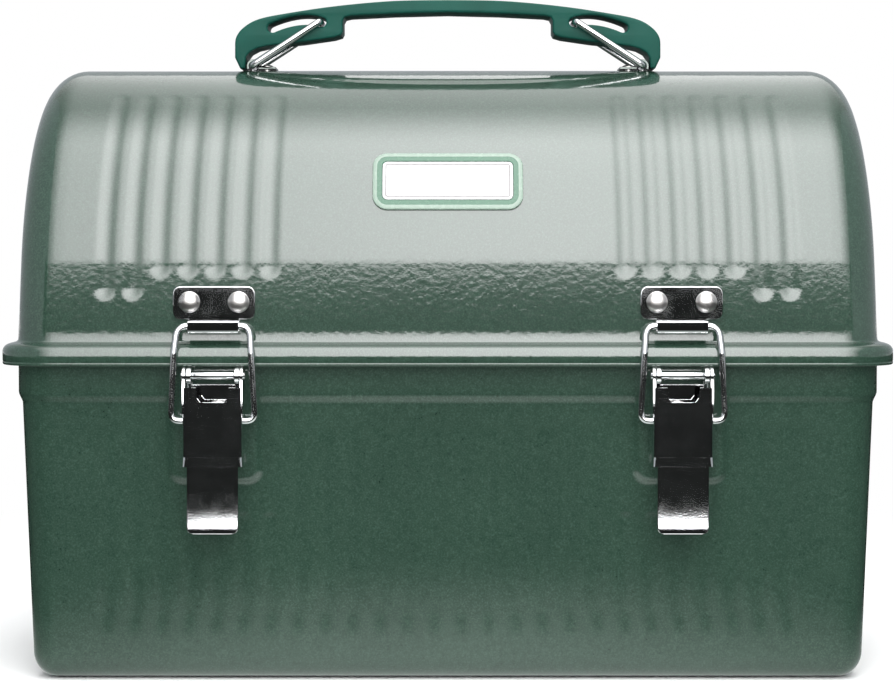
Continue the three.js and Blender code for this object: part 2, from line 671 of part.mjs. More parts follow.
// Over-centre lever: a pressed tray with two side flanges, hung from the pin, and a flat tail.
function latchLever(x) {
  const front = -LEVER_FACE_Y;
  const back = front + LEAF;
  const half = LEVER_W / 2;
  const notch = LEVER_NOTCH_W / 2;
  const face = new THREE.Shape([
    [x - half, LEVER_STEP], [x + half, LEVER_STEP], [x + half, LEVER_TOP], [x + notch, LEVER_TOP],
    [x + notch - 1, LEVER_NOTCH_LOW], [x - notch + 1, LEVER_NOTCH_LOW],
    [x - notch, LEVER_TOP], [x - half, LEVER_TOP],
  ].map(([u, v]) => new THREE.Vector2(u, v)));
  const flange = new THREE.Shape();
  flange.moveTo(front, LEVER_STEP);
  flange.lineTo(-LATCH_PIN_Y + 2.2, LEVER_STEP + 4);
  flange.lineTo(-LATCH_PIN_Y + EAR_R, LATCH_PIN_Z - 4);
  flange.absarc(-LATCH_PIN_Y, LATCH_PIN_Z, EAR_R, 0, Math.PI);
  flange.lineTo(front, LEVER_TOP);
  const side = (sign) => solid(extrudeX(flange, LEAF, x + sign * (half - LEAF / 2)));
  const tail = bentSheet([
    [front + LEAF / 2, LEVER_STEP + 3], [front + LEAF / 2, LEVER_STEP - 6],
    [front + LEAF / 2 - LEVER_FLARE * 0.4, LEVER_TIP + 8], [front + LEAF / 2 - LEVER_FLARE, LEVER_TIP],
  ], LEAF);
  const tailHeight = LEVER_STEP - LEVER_TIP + 20;
  const tailPlan = roundedShape(LEVER_TAIL_W, tailHeight, LEVER_TIP_R, x, LEVER_TIP + tailHeight / 2);
  const tailBlock = solid(extrudeY(tailPlan, front - 6, back + 1));
  const tailBody = solid(extrudeX(tail, LEVER_TAIL_W, x)).intersect(tailBlock);
  const pinBore = solid(rodX(LATCH_PIN_D / 2 + GAP, 40, x, -LATCH_PIN_Y, LATCH_PIN_Z));
  const loopBore = solid(rodX(LOOP_WIRE / 2 + GAP, 40, x, -LOOP_BAR_Y, LOOP_BAR_Z));
  return cutAll(join([solid(extrudeY(face, front, back)), side(-1), side(1), tailBody]), [pinBore, loopBore]);
}

// ---------------------------------------------------------------- rear hinges

function knuckle(x, width) {
  return solid(rodX(KNUCKLE_R, width, x, HINGE_PIN_Y, HINGE_PIN_Z));
}

const hingeBore = (x) => solid(rodX(KNUCKLE_BORE, HINGE_W + 10, x, HINGE_PIN_Y, HINGE_PIN_Z));
const HINGE_SIDE_W = (HINGE_W - HINGE_MIDDLE) / 2 - GAP;
const HINGE_SIDE_X = (HINGE_W - HINGE_SIDE_W) / 2;

// Leaf on the base, with a knuckle at each end.
function hingeBaseLeaf(x) {
  const seat = HALF_D + GAP + LEAF / 2;
  const run = [[seat, HINGE_LEAF_LOW], [seat, HINGE_PIN_Z - 8], [HINGE_PIN_Y - 4.6, HINGE_PIN_Z - 4.9]];
  const arm = [[seat, HINGE_PIN_Z - 12], [seat, HINGE_PIN_Z - 8], [HINGE_PIN_Y - 0.8, HINGE_PIN_Z - 2.3]];
  const leaf = solid(extrudeX(bentSheet(run, LEAF), HINGE_W, x));
  const ends = [-1, 1].flatMap((side) => [
    solid(extrudeX(bentSheet(arm, LEAF), HINGE_SIDE_W, x + side * HINGE_SIDE_X)),
    knuckle(x + side * HINGE_SIDE_X, HINGE_SIDE_W),
  ]);
  const holes = HINGE_RIVETS.map((dx) => rivetHole(HINGE_RIVET, x + dx, seat, HINGE_BASE_RIVET_Z));
  return cutAll(join([leaf, ...ends]), [hingeBore(x), ...holes]);
}

// Leaf on the lid: it steps out over the skirt to the middle knuckle.
function hingeLidLeaf(x) {
  const seat = HALF_D + GAP + LEAF / 2;
  const clear = HALF_D + SKIRT_OUT + 2 * GAP + LEAF / 2;
  const run = [
    [seat, HINGE_LEAF_HIGH], [seat, RIM_Z + 13.5], [clear, RIM_Z + 8.3], [clear, HINGE_PIN_Z + 4.6],
  ];
  const arm = [[clear, RIM_Z + 8.3], [clear, HINGE_PIN_Z + 1.2]];
  const leaf = solid(extrudeX(bentSheet(run, LEAF), HINGE_W, x));
  const tongue = solid(extrudeX(bentSheet(arm, LEAF), HINGE_MIDDLE, x));
  const holes = HINGE_RIVETS.map((dx) => rivetHole(HINGE_RIVET, x + dx, seat, HINGE_LID_RIVET_Z));
  return cutAll(join([leaf, tongue, knuckle(x, HINGE_MIDDLE)]), [hingeBore(x), ...holes]);
}

// ---------------------------------------------------------------- handle and struts

// Where a strut's cross bar sits in the handle, for a strut turned up by `turn` from rest.
function slotPoint(turn) {
  const angle = STRUT_REST + turn;
  const lift = (LIFT * turn) / STRUT_TURN;
  return new THREE.Vector2(-STRUT_X + STRUT_L * Math.cos(angle), STRUT_Z + STRUT_L * Math.sin(angle) - lift);
}

function slotHole() {
  const half = STRUT_WIRE / 2 + 2 * GAP;
  const turns = [-0.04, 0.24, 0.5, 0.75, 1].map((share) => share * STRUT_TURN);
  const line = turns.map(slotPoint);
  const side = (sign) => line.map((p, i) => {
    const a = line[Math.max(i - 1, 0)];
    const b = line[Math.min(i + 1, line.length - 1)];
    const along = b.clone().sub(a).normalize();
    return new THREE.Vector2(p.x - sign * along.y * half, p.y + sign * along.x * half);
  });
  const round = (centre, from, count) => Array.from({ length: count }, (_, i) => {
    const angle = from - ((i + 1) / (count + 1)) * Math.PI;
    return new THREE.Vector2(centre.x + half * Math.cos(angle), centre.y + half * Math.sin(angle));
  });
  const outerEnd = round(line[line.length - 1], 1.5 * Math.PI, 3);
  const innerEnd = round(line[0], 0.5 * Math.PI, 3);
  return [...side(1), ...outerEnd, ...side(-1).reverse(), ...innerEnd];
}

// The left half of the handle's front outline, from the middle of the top round to the middle of
// the underside.
function handleHalf() {
  const foot = PAD_TOP + 2 * GAP;
  const top = new THREE.SplineCurve([
    [0, HANDLE_TOP], [-21.9, HANDLE_TOP - 0.4], [-44.3, HANDLE_TOP - 2.4], [-63.6, HANDLE_TOP - 5.2],
    [-76.4, HANDLE_TOP - 7.8], [-82.8, HANDLE_TOP - 12], [-HANDLE_HALF, HANDLE_TOP - 17.5],
  ].map(([u, v]) => new THREE.Vector2(u, v))).getPoints(16);
  const under = [
    [-HANDLE_HALF, foot + 4.2], [-83, foot], [-81.1, foot], [-80.6, foot + 4.5], [-78.6, foot + 6.4],
    [-75.4, foot + 7.9], [-70, foot + 9.4], [-58, foot + 10.4], [-44.4, foot + 12.4],
    [-POD_IN - 0.3, foot + 13.8], [-POD_IN, HANDLE_TOP - GRIP_T - 2.6],
    [-POD_IN + 1.2, HANDLE_TOP - GRIP_T - 1.7],
    [-21, HANDLE_TOP - GRIP_T - 0.5], [0, HANDLE_TOP - GRIP_T],
  ].map(([u, v]) => new THREE.Vector2(u, v));
  return [...top, ...under];
}

function handle() {
  const left = handleHalf();
  const mirror = (points) => points.map((p) => new THREE.Vector2(-p.x, p.y)).reverse();
  const shape = new THREE.Shape([...left, ...mirror(left.slice(1, -1))]);
  const hole = slotHole();
  shape.holes.push(new THREE.Path(hole), new THREE.Path(mirror(hole)));
  return extrudeY(shape, -HANDLE_DEPTH / 2, HANDLE_DEPTH / 2);
}

// Wire strut: a closed rectangle of wire, butted in the middle of its lower bar.
function strut(side) {
  const reach = HANDLE_DEPTH / 2 + STRUT_WIRE / 2 + 2 * GAP;
  const low = (y) => at(side * STRUT_X, y, STRUT_Z);
  const high = (y) => at(side * STRUT_BAR_X, y, STRUT_BAR_Z);
  return bentWire([low(0.4), low(reach), high(reach), high(-reach), low(-reach), low(-0.4)], STRUT_WIRE, 2);
}

const BRACKET_SEAT = PAD_TOP + GAP;
const BRACKET_GRIP = RIVET_GRIP + PAD_PROUD + 0.9; // the dome falls away beside the crest

// Saddle over the strut's lower bar, riveted to the pad beside it.
function handleBracket(side) {
  const inner = STRUT_WIRE / 2 + GAP;
  const shape = new THREE.Shape();
  const shut = STRUT_Z + inner + LEAF;
  shape.moveTo(STRUT_X + inner + 0.7, BRACKET_SEAT);
  shape.lineTo(STRUT_X + inner + 0.7, shut - 1);
  shape.lineTo(STRUT_X + inner - 0.4, shut);
  shape.lineTo(STRUT_X - inner + 0.2, shut);
  shape.lineTo(STRUT_X - inner - LEAF, shut - 1.2);
  shape.lineTo(STRUT_X - inner - LEAF, BRACKET_SEAT + LEAF);
  shape.lineTo(STRUT_X - BRACKET_L, BRACKET_SEAT + LEAF);
  shape.lineTo(STRUT_X - BRACKET_L, BRACKET_SEAT);
  shape.lineTo(STRUT_X - inner, BRACKET_SEAT);
  shape.lineTo(STRUT_X - inner, STRUT_Z + 0.6);
  shape.lineTo(STRUT_X - 0.8, STRUT_Z + inner);
  shape.lineTo(STRUT_X + 0.8, STRUT_Z + inner);
  shape.lineTo(STRUT_X + inner, STRUT_Z + 0.6);
  shape.lineTo(STRUT_X + inner, BRACKET_SEAT);
  const body = solid(extrudeY(shape, -BRACKET_W / 2, BRACKET_W / 2));
  const cut = cutAll(body, BRACKET_RIVETS.map((y) => uprightHole(BRACKET_RIVET_X, y, BRACKET_SEAT)));
  return side > 0 ? cut : cut.mirror([1, 0, 0]);
}

function bracketRivet(side, y) {
  const geometry = rivet(SMALL_RIVET, BRACKET_GRIP, 0, 0, 0, 1);
  return geometry.rotateX(Math.PI / 2).translate(side * BRACKET_RIVET_X, y, BRACKET_SEAT + LEAF + GAP);
}

// ---------------------------------------------------------------- badge

// A sheet that follows the dome, `low` to `high` above it, over the badge's stretch.
function domeSheet(low, high) {
  const middle = THREE.MathUtils.degToRad(180 - BADGE_ANGLE);
  const spread = THREE.MathUtils.degToRad(14);
  const shape = new THREE.Shape();
  shape.absarc(0, DOME_Z, HALF_D + high, middle - spread, middle + spread);
  shape.absarc(0, DOME_Z, HALF_D + low, middle + spread, middle - spread, true);
  return solid(extrudeX(shape, 2 * BADGE_W, 0));
}

// A prism that points straight out of the dome at the badge's middle.
function badgePrism(width, height, radius) {
  const shape = roundedShape(width, height, radius);
  const options = { depth: 20, bevelEnabled: false, curveSegments: ARC_STEPS };
  const geometry = new THREE.ExtrudeGeometry(shape, options);
  const tilt = THREE.MathUtils.degToRad(90 - BADGE_ANGLE);
  geometry.translate(0, 0, HALF_D - 10).rotateX(tilt).translate(0, 0, DOME_Z);
  return solid(geometry);
}

function badgePlate() {
  const panel = badgePrism(BADGE_W - 2 * BADGE_RIM, BADGE_H - 2 * BADGE_RIM, BADGE_PANEL_R);
  return domeSheet(GAP, BADGE_PLATE_H).intersect(panel);
}

function badgeFrame() {
  const rim = 2 * (BADGE_RIM - GAP);
  const inner = badgePrism(BADGE_W - rim, BADGE_H - rim, BADGE_PANEL_R + GAP);
  return domeSheet(GAP, BADGE_FRAME_H).intersect(badgePrism(BADGE_W, BADGE_H, BADGE_R)).subtract(inner);
}

// ---------------------------------------------------------------- bottle bail

// U of wire across the lid's mouth. Its ends turn in through the two pivots on the rear wall.
function bottleBail() {
  const half = [
    at(BAIL_HALF - 5, BAIL_REAR_Y, BAIL_Z), at(BAIL_WIDE, BAIL_REAR_Y, BAIL_Z),
    at(BAIL_WIDE, BAIL_FRONT_Y + 20, BAIL_Z), at(BAIL_NOSE, BAIL_FRONT_Y, BAIL_Z),
  ];
  const other = half.map((p) => at(-p.x, p.y, p.z));
  return bentWire([...other, ...half.reverse()], BAIL_WIRE, 5);
}

// Pivot: a plate welded to the rear wall, with a barrel for the bail's end.
function bailPivot(side) {
  const seat = HALF_D - SHEET - GAP;
  const x = side * BAIL_HALF;
  const block = (depth, height, y, z) => {
    const box = new THREE.BoxGeometry(BAIL_PIVOT_W, depth, height);
    return solid(box.translate(x, y, z));
  };
  const plate = block(LEAF, BAIL_PIVOT_H, seat - LEAF / 2, BAIL_Z + 5);
  const barrel = solid(rodX(BAIL_WIRE / 2 + GAP + 1.2, BAIL_PIVOT_W, x, BAIL_REAR_Y, BAIL_Z));
  const web = block(seat - BAIL_REAR_Y, 4, (seat + BAIL_REAR_Y) / 2, BAIL_Z);
  const bore = solid(rodX(BAIL_WIRE / 2 + GAP, 20, x, BAIL_REAR_Y, BAIL_Z));
  return join([plate, barrel, web]).subtract(bore);
}

// Spring catch welded to the front wall: an upside-down channel that the bail snaps up into.
function bailCatch() {
  const seat = -(HALF_D - SHEET - GAP);
  const inner = BAIL_WIRE / 2 + GAP;
  const over = BAIL_Z + inner + LEAF / 2;
  const shape = bentSheet([
    [seat + LEAF / 2, BAIL_Z + BAIL_CATCH_H], [seat + LEAF / 2, over],
    [BAIL_FRONT_Y + inner + LEAF / 2, over], [BAIL_FRONT_Y + inner + LEAF / 2, BAIL_Z - 1],
  ], LEAF);
  return extrudeX(shape, BAIL_CATCH_W);
}

// ---------------------------------------------------------------- assembly

const SIDES = [['left', -1], ['right', 1]];

addPiece('base_shell', baseShell(), GREEN_PAINT);
addPiece('lid_shell', lidShell(), GREEN_PAINT);
addPiece('handle', handle(), GRIP_PLASTIC);
addPiece('badge_frame', badgeFrame(), BADGE_GREEN);
addPiece('badge_plate', badgePlate(), BADGE_WHITE);
addPiece('bottle_bail', bottleBail(), CHROME);
addPiece('bottle_bail_catch', bailCatch(), CHROME);

for (const [name, side] of SIDES) {
  const latch = side * LATCH_X;
  const hinge = side * HINGE_X;
  const seat = HALF_D + 2 * GAP + LEAF;

  addPiece(`latch_keeper_${name}`, keeper(latch), CHROME);
  addPiece(`latch_plate_${name}`, latchPlate(latch), CHROME);
  addPiece(`latch_lever_${name}`, latchLever(latch), CHROME);
  addPiece(`latch_loop_${name}`, latchLoop(latch), CHROME);
  const pin = rodX(LATCH_PIN_D / 2, 2 * LATCH_PIN_HALF, latch, -LATCH_PIN_Y, LATCH_PIN_Z);
  addPiece(`latch_pin_${name}`, pin, CHROME);
  KEEPER_RIVETS.forEach((dx, i) => {
    const body = rivet(LATCH_RIVET, RIVET_GRIP, latch + dx, -seat, KEEPER_RIVET_Z, -1);
    addPiece(`latch_keeper_rivet_${name}_${i + 1}`, body, RIVET_STEEL);
  });
  LATCH_PLATE_RIVETS.forEach((z, i) => {
    const body = rivet(PLATE_RIVET, RIVET_GRIP, latch, -seat, z, -1);
    addPiece(`latch_plate_rivet_${name}_${i + 1}`, body, RIVET_STEEL);
  });

  addPiece(`hinge_base_leaf_${name}`, hingeBaseLeaf(hinge), CHROME);
  addPiece(`hinge_lid_leaf_${name}`, hingeLidLeaf(hinge), CHROME);
  const hingePin = rodX(HINGE_PIN_D / 2, HINGE_W + 2, hinge, HINGE_PIN_Y, HINGE_PIN_Z);
  addPiece(`hinge_pin_${name}`, hingePin, CHROME);
  HINGE_RIVETS.forEach((dx, i) => {
    const low = rivet(HINGE_RIVET, RIVET_GRIP, hinge + dx, seat, HINGE_BASE_RIVET_Z, 1);
    addPiece(`hinge_base_rivet_${name}_${i + 1}`, low, RIVET_STEEL);
    const high = rivet(HINGE_RIVET, RIVET_GRIP, hinge + dx, seat, HINGE_LID_RIVET_Z, 1);
    addPiece(`hinge_lid_rivet_${name}_${i + 1}`, high, RIVET_STEEL);
  });

  addPiece(`handle_strut_${name}`, strut(side), CHROME);
  addPiece(`handle_bracket_${name}`, handleBracket(side), CHROME);
  BRACKET_RIVETS.forEach((y, i) => {
    addPiece(`handle_bracket_rivet_${name}_${i + 1}`, bracketRivet(side, y), RIVET_STEEL);
  });

  addPiece(`bottle_bail_pivot_${name}`, bailPivot(side), CHROME);
}

export default group;
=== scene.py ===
# Looks for the domed steel lunch box: pressed shells with real grooves, bosses and rolled rims,
# plated latches and hinges, a moulded handle on wire struts and a wire bail in the lid.
# Sizes are in millimetres in the row frame and become metres when a mesh is made.
import json
import math

import bpy
import bmesh
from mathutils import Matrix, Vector
from mathutils.geometry import tessellate_polygon


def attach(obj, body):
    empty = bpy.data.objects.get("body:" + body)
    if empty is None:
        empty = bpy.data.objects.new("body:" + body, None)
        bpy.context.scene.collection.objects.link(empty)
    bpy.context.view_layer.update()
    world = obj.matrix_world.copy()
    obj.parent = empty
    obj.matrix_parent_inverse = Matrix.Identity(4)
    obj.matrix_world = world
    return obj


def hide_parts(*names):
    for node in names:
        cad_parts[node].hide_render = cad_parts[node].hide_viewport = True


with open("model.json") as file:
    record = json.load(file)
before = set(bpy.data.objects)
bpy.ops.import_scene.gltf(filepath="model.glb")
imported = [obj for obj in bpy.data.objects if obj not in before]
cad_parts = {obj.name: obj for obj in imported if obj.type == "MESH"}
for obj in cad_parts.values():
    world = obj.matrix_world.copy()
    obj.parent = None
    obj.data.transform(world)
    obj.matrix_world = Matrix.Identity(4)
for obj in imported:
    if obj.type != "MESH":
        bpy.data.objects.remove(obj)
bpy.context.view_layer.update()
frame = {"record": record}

MM = 0.001

SIDES = (("left", -1), ("right", 1))


def joint_place(name):
    """A hinge's point in the row frame, in mm."""
    spec = next(j for j in frame["record"]["behaviour"]["joints"] if j["name"] == name)
    return [v / MM for v in spec["pos_m"]]


# ---- sizes (mm)

HALF_W, HALF_D = 163.0, 76.5  # upper wall
SHEET = 0.8
CORNER_R = 15.0
RIM_Z = 119.6
DOME_Z = RIM_Z + 38.1
SHELF_Z = RIM_Z + 10.3  # where the lid's wall meets its shelf
LID_DRAFT = 0.045
BASE_TAPER, BOTTOM_R = 3.8, 9.4
SHOULDER_STEP, SHOULDER_TOP, SHOULDER_LOW = 1.5, RIM_Z - 10.4, RIM_Z - 14.9
CREST = DOME_Z + HALF_D

GROOVE_PITCH, GROOVE_COUNT, GROOVE_R, GROOVE_DEPTH = 10.3, 26, 3.75, 0.4
GROOVE_LOW, GROOVE_HIGH = 15.5, RIM_Z - 23.5
BOSS_TO_GROOVE, GROOVED_TO = 10.9, 134.0
LID_GROOVES, LID_GROOVE_TOP, LID_GROOVE_LOW, LID_GROOVE_LOWER = 7, 58.0, 5.0, 13.3

LATCH_X = joint_place("lever_right_pivot")[0]
HINGE_X = 95.0
# (x, face, half width, lower edge) of the bosses behind the latches and under the hinges
BOSSES = [(side * LATCH_X, -1, 17.0, RIM_Z - 43.7) for side in (-1, 1)]
BOSSES += [(side * HINGE_X, 1, 23.0, RIM_Z - 30.7) for side in (-1, 1)]

PAD_HALF_L, PAD_HALF_W, PAD_R, PAD_PROUD, PAD_POWER = 86.0, 31.0, 84.0, 0.2, 2.4

GAP, LEAF = 0.3, 1.0
BADGE_W, BADGE_H, BADGE_R, BADGE_ANGLE = 56.5, 23.0, 5.6, 23.8


# ---- materials

def shader(name):
    """A new material, its node tree and its Principled shader."""
    material = bpy.data.materials.new(name)
    material.use_nodes = True
    tree = material.node_tree
    return material, tree, tree.nodes["Principled BSDF"]


def add(tree, kind, **values):
    """A node with its input sockets or properties set."""
    node = tree.nodes.new(kind)
    for key, value in values.items():
        if key in node.inputs:
            node.inputs[key].default_value = value
        else:
            setattr(node, key, value)
    return node


def preset(node, values):
    """Sets constants on a node's own sockets."""
    for name, value in values.items():
        node.inputs[name].default_value = value


def object_space(tree):
    """The socket that gives the place in object space."""
    where = tree.nodes.get("Texture Coordinate") or tree.nodes.new("ShaderNodeTexCoord")
    return where.outputs["Object"]


def cover(tree, bsdf, colour, roughness):
    tree.links.new(colour, bsdf.inputs["Base Color"])
    tree.links.new(roughness, bsdf.inputs["Roughness"])


def noise(tree, scale, detail=2.0, roughness=0.5):
    """3-D noise in object space, its scale in features per metre."""
    node = add(tree, "ShaderNodeTexNoise", Scale=scale, Detail=detail, Roughness=roughness)
    tree.links.new(object_space(tree), node.inputs["Vector"])
    return node.outputs["Fac"]


def ramp(tree, source, stops):
    """A colour ramp over a value, from (place, colour) stops."""
    node = tree.nodes.new("ShaderNodeValToRGB")
    elements = node.color_ramp.elements
    while len(elements) < len(stops):
        elements.new(0.5)
    for element, (place, colour) in zip(elements, stops):
        element.position = place
        element.color = (*colour, 1.0)
    tree.links.new(source, node.inputs["Fac"])
    return node.outputs["Color"]


def grey_ramp(tree, source, stops):
    return ramp(tree, source, [(place, (value, value, value)) for place, value in stops])


def mix(tree, factor, a, b, blend="MIX"):
    """Colour a towards colour b; factor may be a number or a socket."""
    node = tree.nodes.new("ShaderNodeMix")
    node.data_type = "RGBA"
    node.blend_type = blend
    if isinstance(factor, float):
        node.inputs["Factor"].default_value = factor
    else:
        tree.links.new(factor, node.inputs["Factor"])
    for name, value in (("A", a), ("B", b)):
        socket = next(s for s in node.inputs if s.name == name and s.type == "RGBA")
        if isinstance(value, tuple):
            socket.default_value = (*value, 1.0)
        else:
            tree.links.new(value, socket)
    return next(s for s in node.outputs if s.type == "RGBA")


def bump(tree, bsdf, layers):
    """Stacked bump layers, each (height socket, strength, distance in m)."""
    last = None
    for height, strength, distance in layers:
        node = add(tree, "ShaderNodeBump", Strength=strength, Distance=distance)
        tree.links.new(height, node.inputs["Height"])
        if last:
            tree.links.new(last, node.inputs["Normal"])
        last = node.outputs["Normal"]
    tree.links.new(last, bsdf.inputs["Normal"])


def hammertone_paint():
    """Dark green baked enamel: fine metallic speckle under a glossy, slightly rippled skin."""
    material, tree, bsdf = shader("green_hammertone")
    fine = noise(tree, 1500.0, 3.0, 0.65)
    broad = noise(tree, 420.0, 2.0, 0.5)
    cloud = noise(tree, 25.0, 2.0, 0.5)
    dark, middle, bright = (0.010, 0.028, 0.018), (0.019, 0.045, 0.030), (0.046, 0.086, 0.064)
    speckle = ramp(tree, fine, [(0.3, dark), (0.5, middle), (0.68, bright)])
    patch = ramp(tree, broad, [(0.35, (0.016, 0.038, 0.026)), (0.65, (0.024, 0.052, 0.036))])
    colour = mix(tree, 0.45, speckle, patch)
    shade = ramp(tree, cloud, [(0.3, (0.88, 0.9, 0.9)), (0.7, (1.0, 1.0, 1.0))])
    tone = mix(tree, 1.0, colour, shade, "MULTIPLY")
    cover(tree, bsdf, tone, grey_ramp(tree, broad, [(0.3, 0.30), (0.7, 0.42)]))
    preset(bsdf, {"Specular IOR Level": 0.1, "Coat Weight": 1.0, "Coat Roughness": 0.06, "Coat IOR": 1.8})
    bump(tree, bsdf, [(noise(tree, 480.0, 2.0, 0.5), 0.5, 0.00005), (fine, 0.3, 0.00002)])
    normal = bsdf.inputs["Normal"].links[0].from_socket
    tree.links.new(normal, bsdf.inputs["Coat Normal"])
    return material


def moulded_plastic():
    """Teal-green satin plastic with a fine moulded grain."""
    material, tree, bsdf = shader("teal_grip")
    grain = noise(tree, 2600.0, 2.0, 0.6)
    cloud = noise(tree, 60.0, 2.0, 0.5)
    colour = ramp(tree, cloud, [(0.3, (0.002, 0.050, 0.036)), (0.7, (0.004, 0.066, 0.049))])
    tone = mix(tree, 0.06, colour, grey_ramp(tree, grain, [(0.35, 0.01), (0.65, 0.10)]))
    cover(tree, bsdf, tone, grey_ramp(tree, grain, [(0.3, 0.36), (0.7, 0.5)]))
    preset(bsdf, {"Specular IOR Level": 0.12})
    bump(tree, bsdf, [(grain, 0.25, 0.00003)])
    return material


def plated(name, colour, low, high, ripple):
    """Bright plated steel: near-mirror, with faint ripple and handling haze."""
    material, tree, bsdf = shader(name)
    haze = noise(tree, 160.0, 3.0, 0.6)
    peel = noise(tree, 1800.0, 2.0, 0.5)
    dull = tuple(v * 0.9 for v in colour)
    tone = ramp(tree, haze, [(0.35, dull), (0.65, colour)])
    cover(tree, bsdf, tone, grey_ramp(tree, haze, [(0.35, low), (0.7, high)]))
    preset(bsdf, {"Metallic": 1.0})
    bump(tree, bsdf, [(peel, ripple, 0.000008)])
    return material


def enamel(name, colour):
    """Printed badge enamel with a faint mottling."""
    material, tree, bsdf = shader(name)
    mottle = noise(tree, 500.0, 2.0, 0.5)
    dull = tuple(v * 0.93 for v in colour)
    tone = ramp(tree, mottle, [(0.3, dull), (0.7, colour)])
    cover(tree, bsdf, tone, grey_ramp(tree, mottle, [(0.3, 0.22), (0.7, 0.3)]))
    bump(tree, bsdf, [(mottle, 0.06, 0.00003)])
    return material


PAINT = hammertone_paint()
GRIP = moulded_plastic()
CHROME = plated("bright_plate", (0.82, 0.83, 0.84), 0.03, 0.06, 0.25)
LEVER_PLATE = plated("lever_plate", (0.80, 0.81, 0.82), 0.05, 0.07, 1.0)
WIRE = plated("wire_plate", (0.84, 0.85, 0.86), 0.10, 0.18, 0.2)
RIVET = plated("satin_rivet", (0.74, 0.71, 0.69), 0.26, 0.36, 0.5)
DARK_PLATE = plated("dark_plate", (0.16, 0.18, 0.17), 0.25, 0.4, 0.3)
BADGE_PALE = enamel("badge_pale_green", (0.24, 0.32, 0.265))
BADGE_MID = enamel("badge_mid_green", (0.055, 0.145, 0.092))
BADGE_WHITE = enamel("badge_white", (0.52, 0.53, 0.53))
BADGE_LINE = enamel("badge_line", (0.14, 0.12, 0.125))


# ---- mesh tools

def mesh_piece(name, verts, faces, materials, body, nodes, smooth=32.0, face_materials=None, bevel=0.0):
    """A piece from mm points and faces, smooth up to an angle, riding on a body for its CAD nodes."""
    mesh = bpy.data.meshes.new(name)
    mesh.from_pydata([Vector(v) * MM for v in verts], [], faces)
    work = bmesh.new()
    work.from_mesh(mesh)
    bmesh.ops.recalc_face_normals(work, faces=work.faces)
    work.to_mesh(mesh)
    work.free()
    for material in materials:
        mesh.materials.append(material)
    if face_materials:
        mesh.polygons.foreach_set("material_index", face_materials)
    mesh.polygons.foreach_set("use_smooth", [True] * len(mesh.polygons))
    mesh.set_sharp_from_angle(angle=math.radians(smooth))
    piece = bpy.data.objects.new(name, mesh)
    bpy.context.scene.collection.objects.link(piece)
    if bevel:
        soften = piece.modifiers.new("edges", "BEVEL")
        soften.width = bevel * MM
        soften.segments = 3
        soften.limit_method = "ANGLE"
        soften.angle_limit = math.radians(40)
        soften.harden_normals = True
    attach(piece, body)
    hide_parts(*nodes)
    return piece


def ring_faces(a, b, count):
    """Faces between two closed rings of `count` points that start at a and b."""
    return [[a + i, a + (i + 1) % count, b + (i + 1) % count, b + i] for i in range(count)]


class Solid:
    """Points and faces of one or more closed bodies, gathered before they become a piece."""

    def __init__(self):
        self.verts, self.faces = [], []

    def add(self, verts, faces):
        base = len(self.verts)
        self.verts += [tuple(v) for v in verts]
        self.faces += [[base + i for i in face] for face in faces]
        return self

    def loft(self, rings, closed=False):
        """A skin through rings of equal length, with flat ends unless it closes on itself."""
        count = len(rings[0])
        faces = []
        pairs = len(rings) if closed else len(rings) - 1
        for r in range(pairs):
            faces += ring_faces(r * count, ((r + 1) % len(rings)) * count, count)
        if not closed:
            faces.append(list(range(count))[::-1])
            faces.append([(len(rings) - 1) * count + i for i in range(count)])
        return self.add([p for ring in rings for p in ring], faces)

    def moved(self, dx, dy=0.0, dz=0.0):
        self.verts = [(x + dx, y + dy, z + dz) for x, y, z in self.verts]
        return self

    def mirrored(self):
        self.verts = [(-x, y, z) for x, y, z in self.verts]
        self.faces = [face[::-1] for face in self.faces]
        return self

    def piece(self, name, material, body, node, **options):
        return mesh_piece(name, self.verts, self.faces, [material], body, [node], **options)


def spaced(start, stop, step):
    """Evenly spaced values from start to stop, about step apart."""
    count = max(1, round(abs(stop - start) / step))
    return [start + (stop - start) * i / count for i in range(count + 1)]


def sweep(start, stop, step):
    """Angles in radians, from degrees."""
    return [math.radians(d) for d in spaced(start, stop, step)]


def merged(*runs):
    """The values of several runs in order, without near repeats."""
    out = []
    for value in sorted(v for run in runs for v in run):
        if not out or value - out[-1] > 0.05:
            out.append(value)
    return out


def stepped(start, *stretches):
    """Values on from start through (stop, step) stretches."""
    out = []
    for stop, step in stretches:
        out.append(spaced(start, stop, step))
        start = stop
    return merged(*out)


def smoothstep(edge0, edge1, value):
    t = min(max((value - edge0) / (edge1 - edge0), 0.0), 1.0)
    return t * t * (3 - 2 * t)


def rounded(corners, steps=5):
    """Rounds each (u, v, radius) corner of a closed outline."""
    out = []
    for i, (u, v, radius) in enumerate(corners):
        here = Vector((u, v))
        before = Vector(corners[i - 1][:2])
        after = Vector(corners[(i + 1) % len(corners)][:2])
        out += fillet(before, here, after, radius, steps)
    return out


def fillet(before, here, after, radius, steps):
    """Points that round the corner at here."""
    into, away = (here - before), (after - here)
    if radius <= 0 or into.length < 1e-6 or away.length < 1e-6:
        return [tuple(here)]
    turn = into.angle(away)
    if turn < 0.02:
        return [tuple(here)]
    back = min(radius * math.tan(turn / 2), into.length * 0.49, away.length * 0.49)
    start, end = here - into.normalized() * back, here + away.normalized() * back
    points = []
    for k in range(steps + 1):
        t = k / steps
        points.append(tuple(start * (1 - t) ** 2 + here * 2 * t * (1 - t) + end * t * t))
    return points


def rounded_run(points, radius, steps=4):
    """Rounds the inner corners of an open run of points, in 2 or 3 dimensions."""
    run = [Vector(p) for p in points]
    out = [tuple(run[0])]
    for i in range(1, len(run) - 1):
        out += fillet(run[i - 1], run[i], run[i + 1], radius, steps)
    out.append(tuple(run[-1]))
    return out


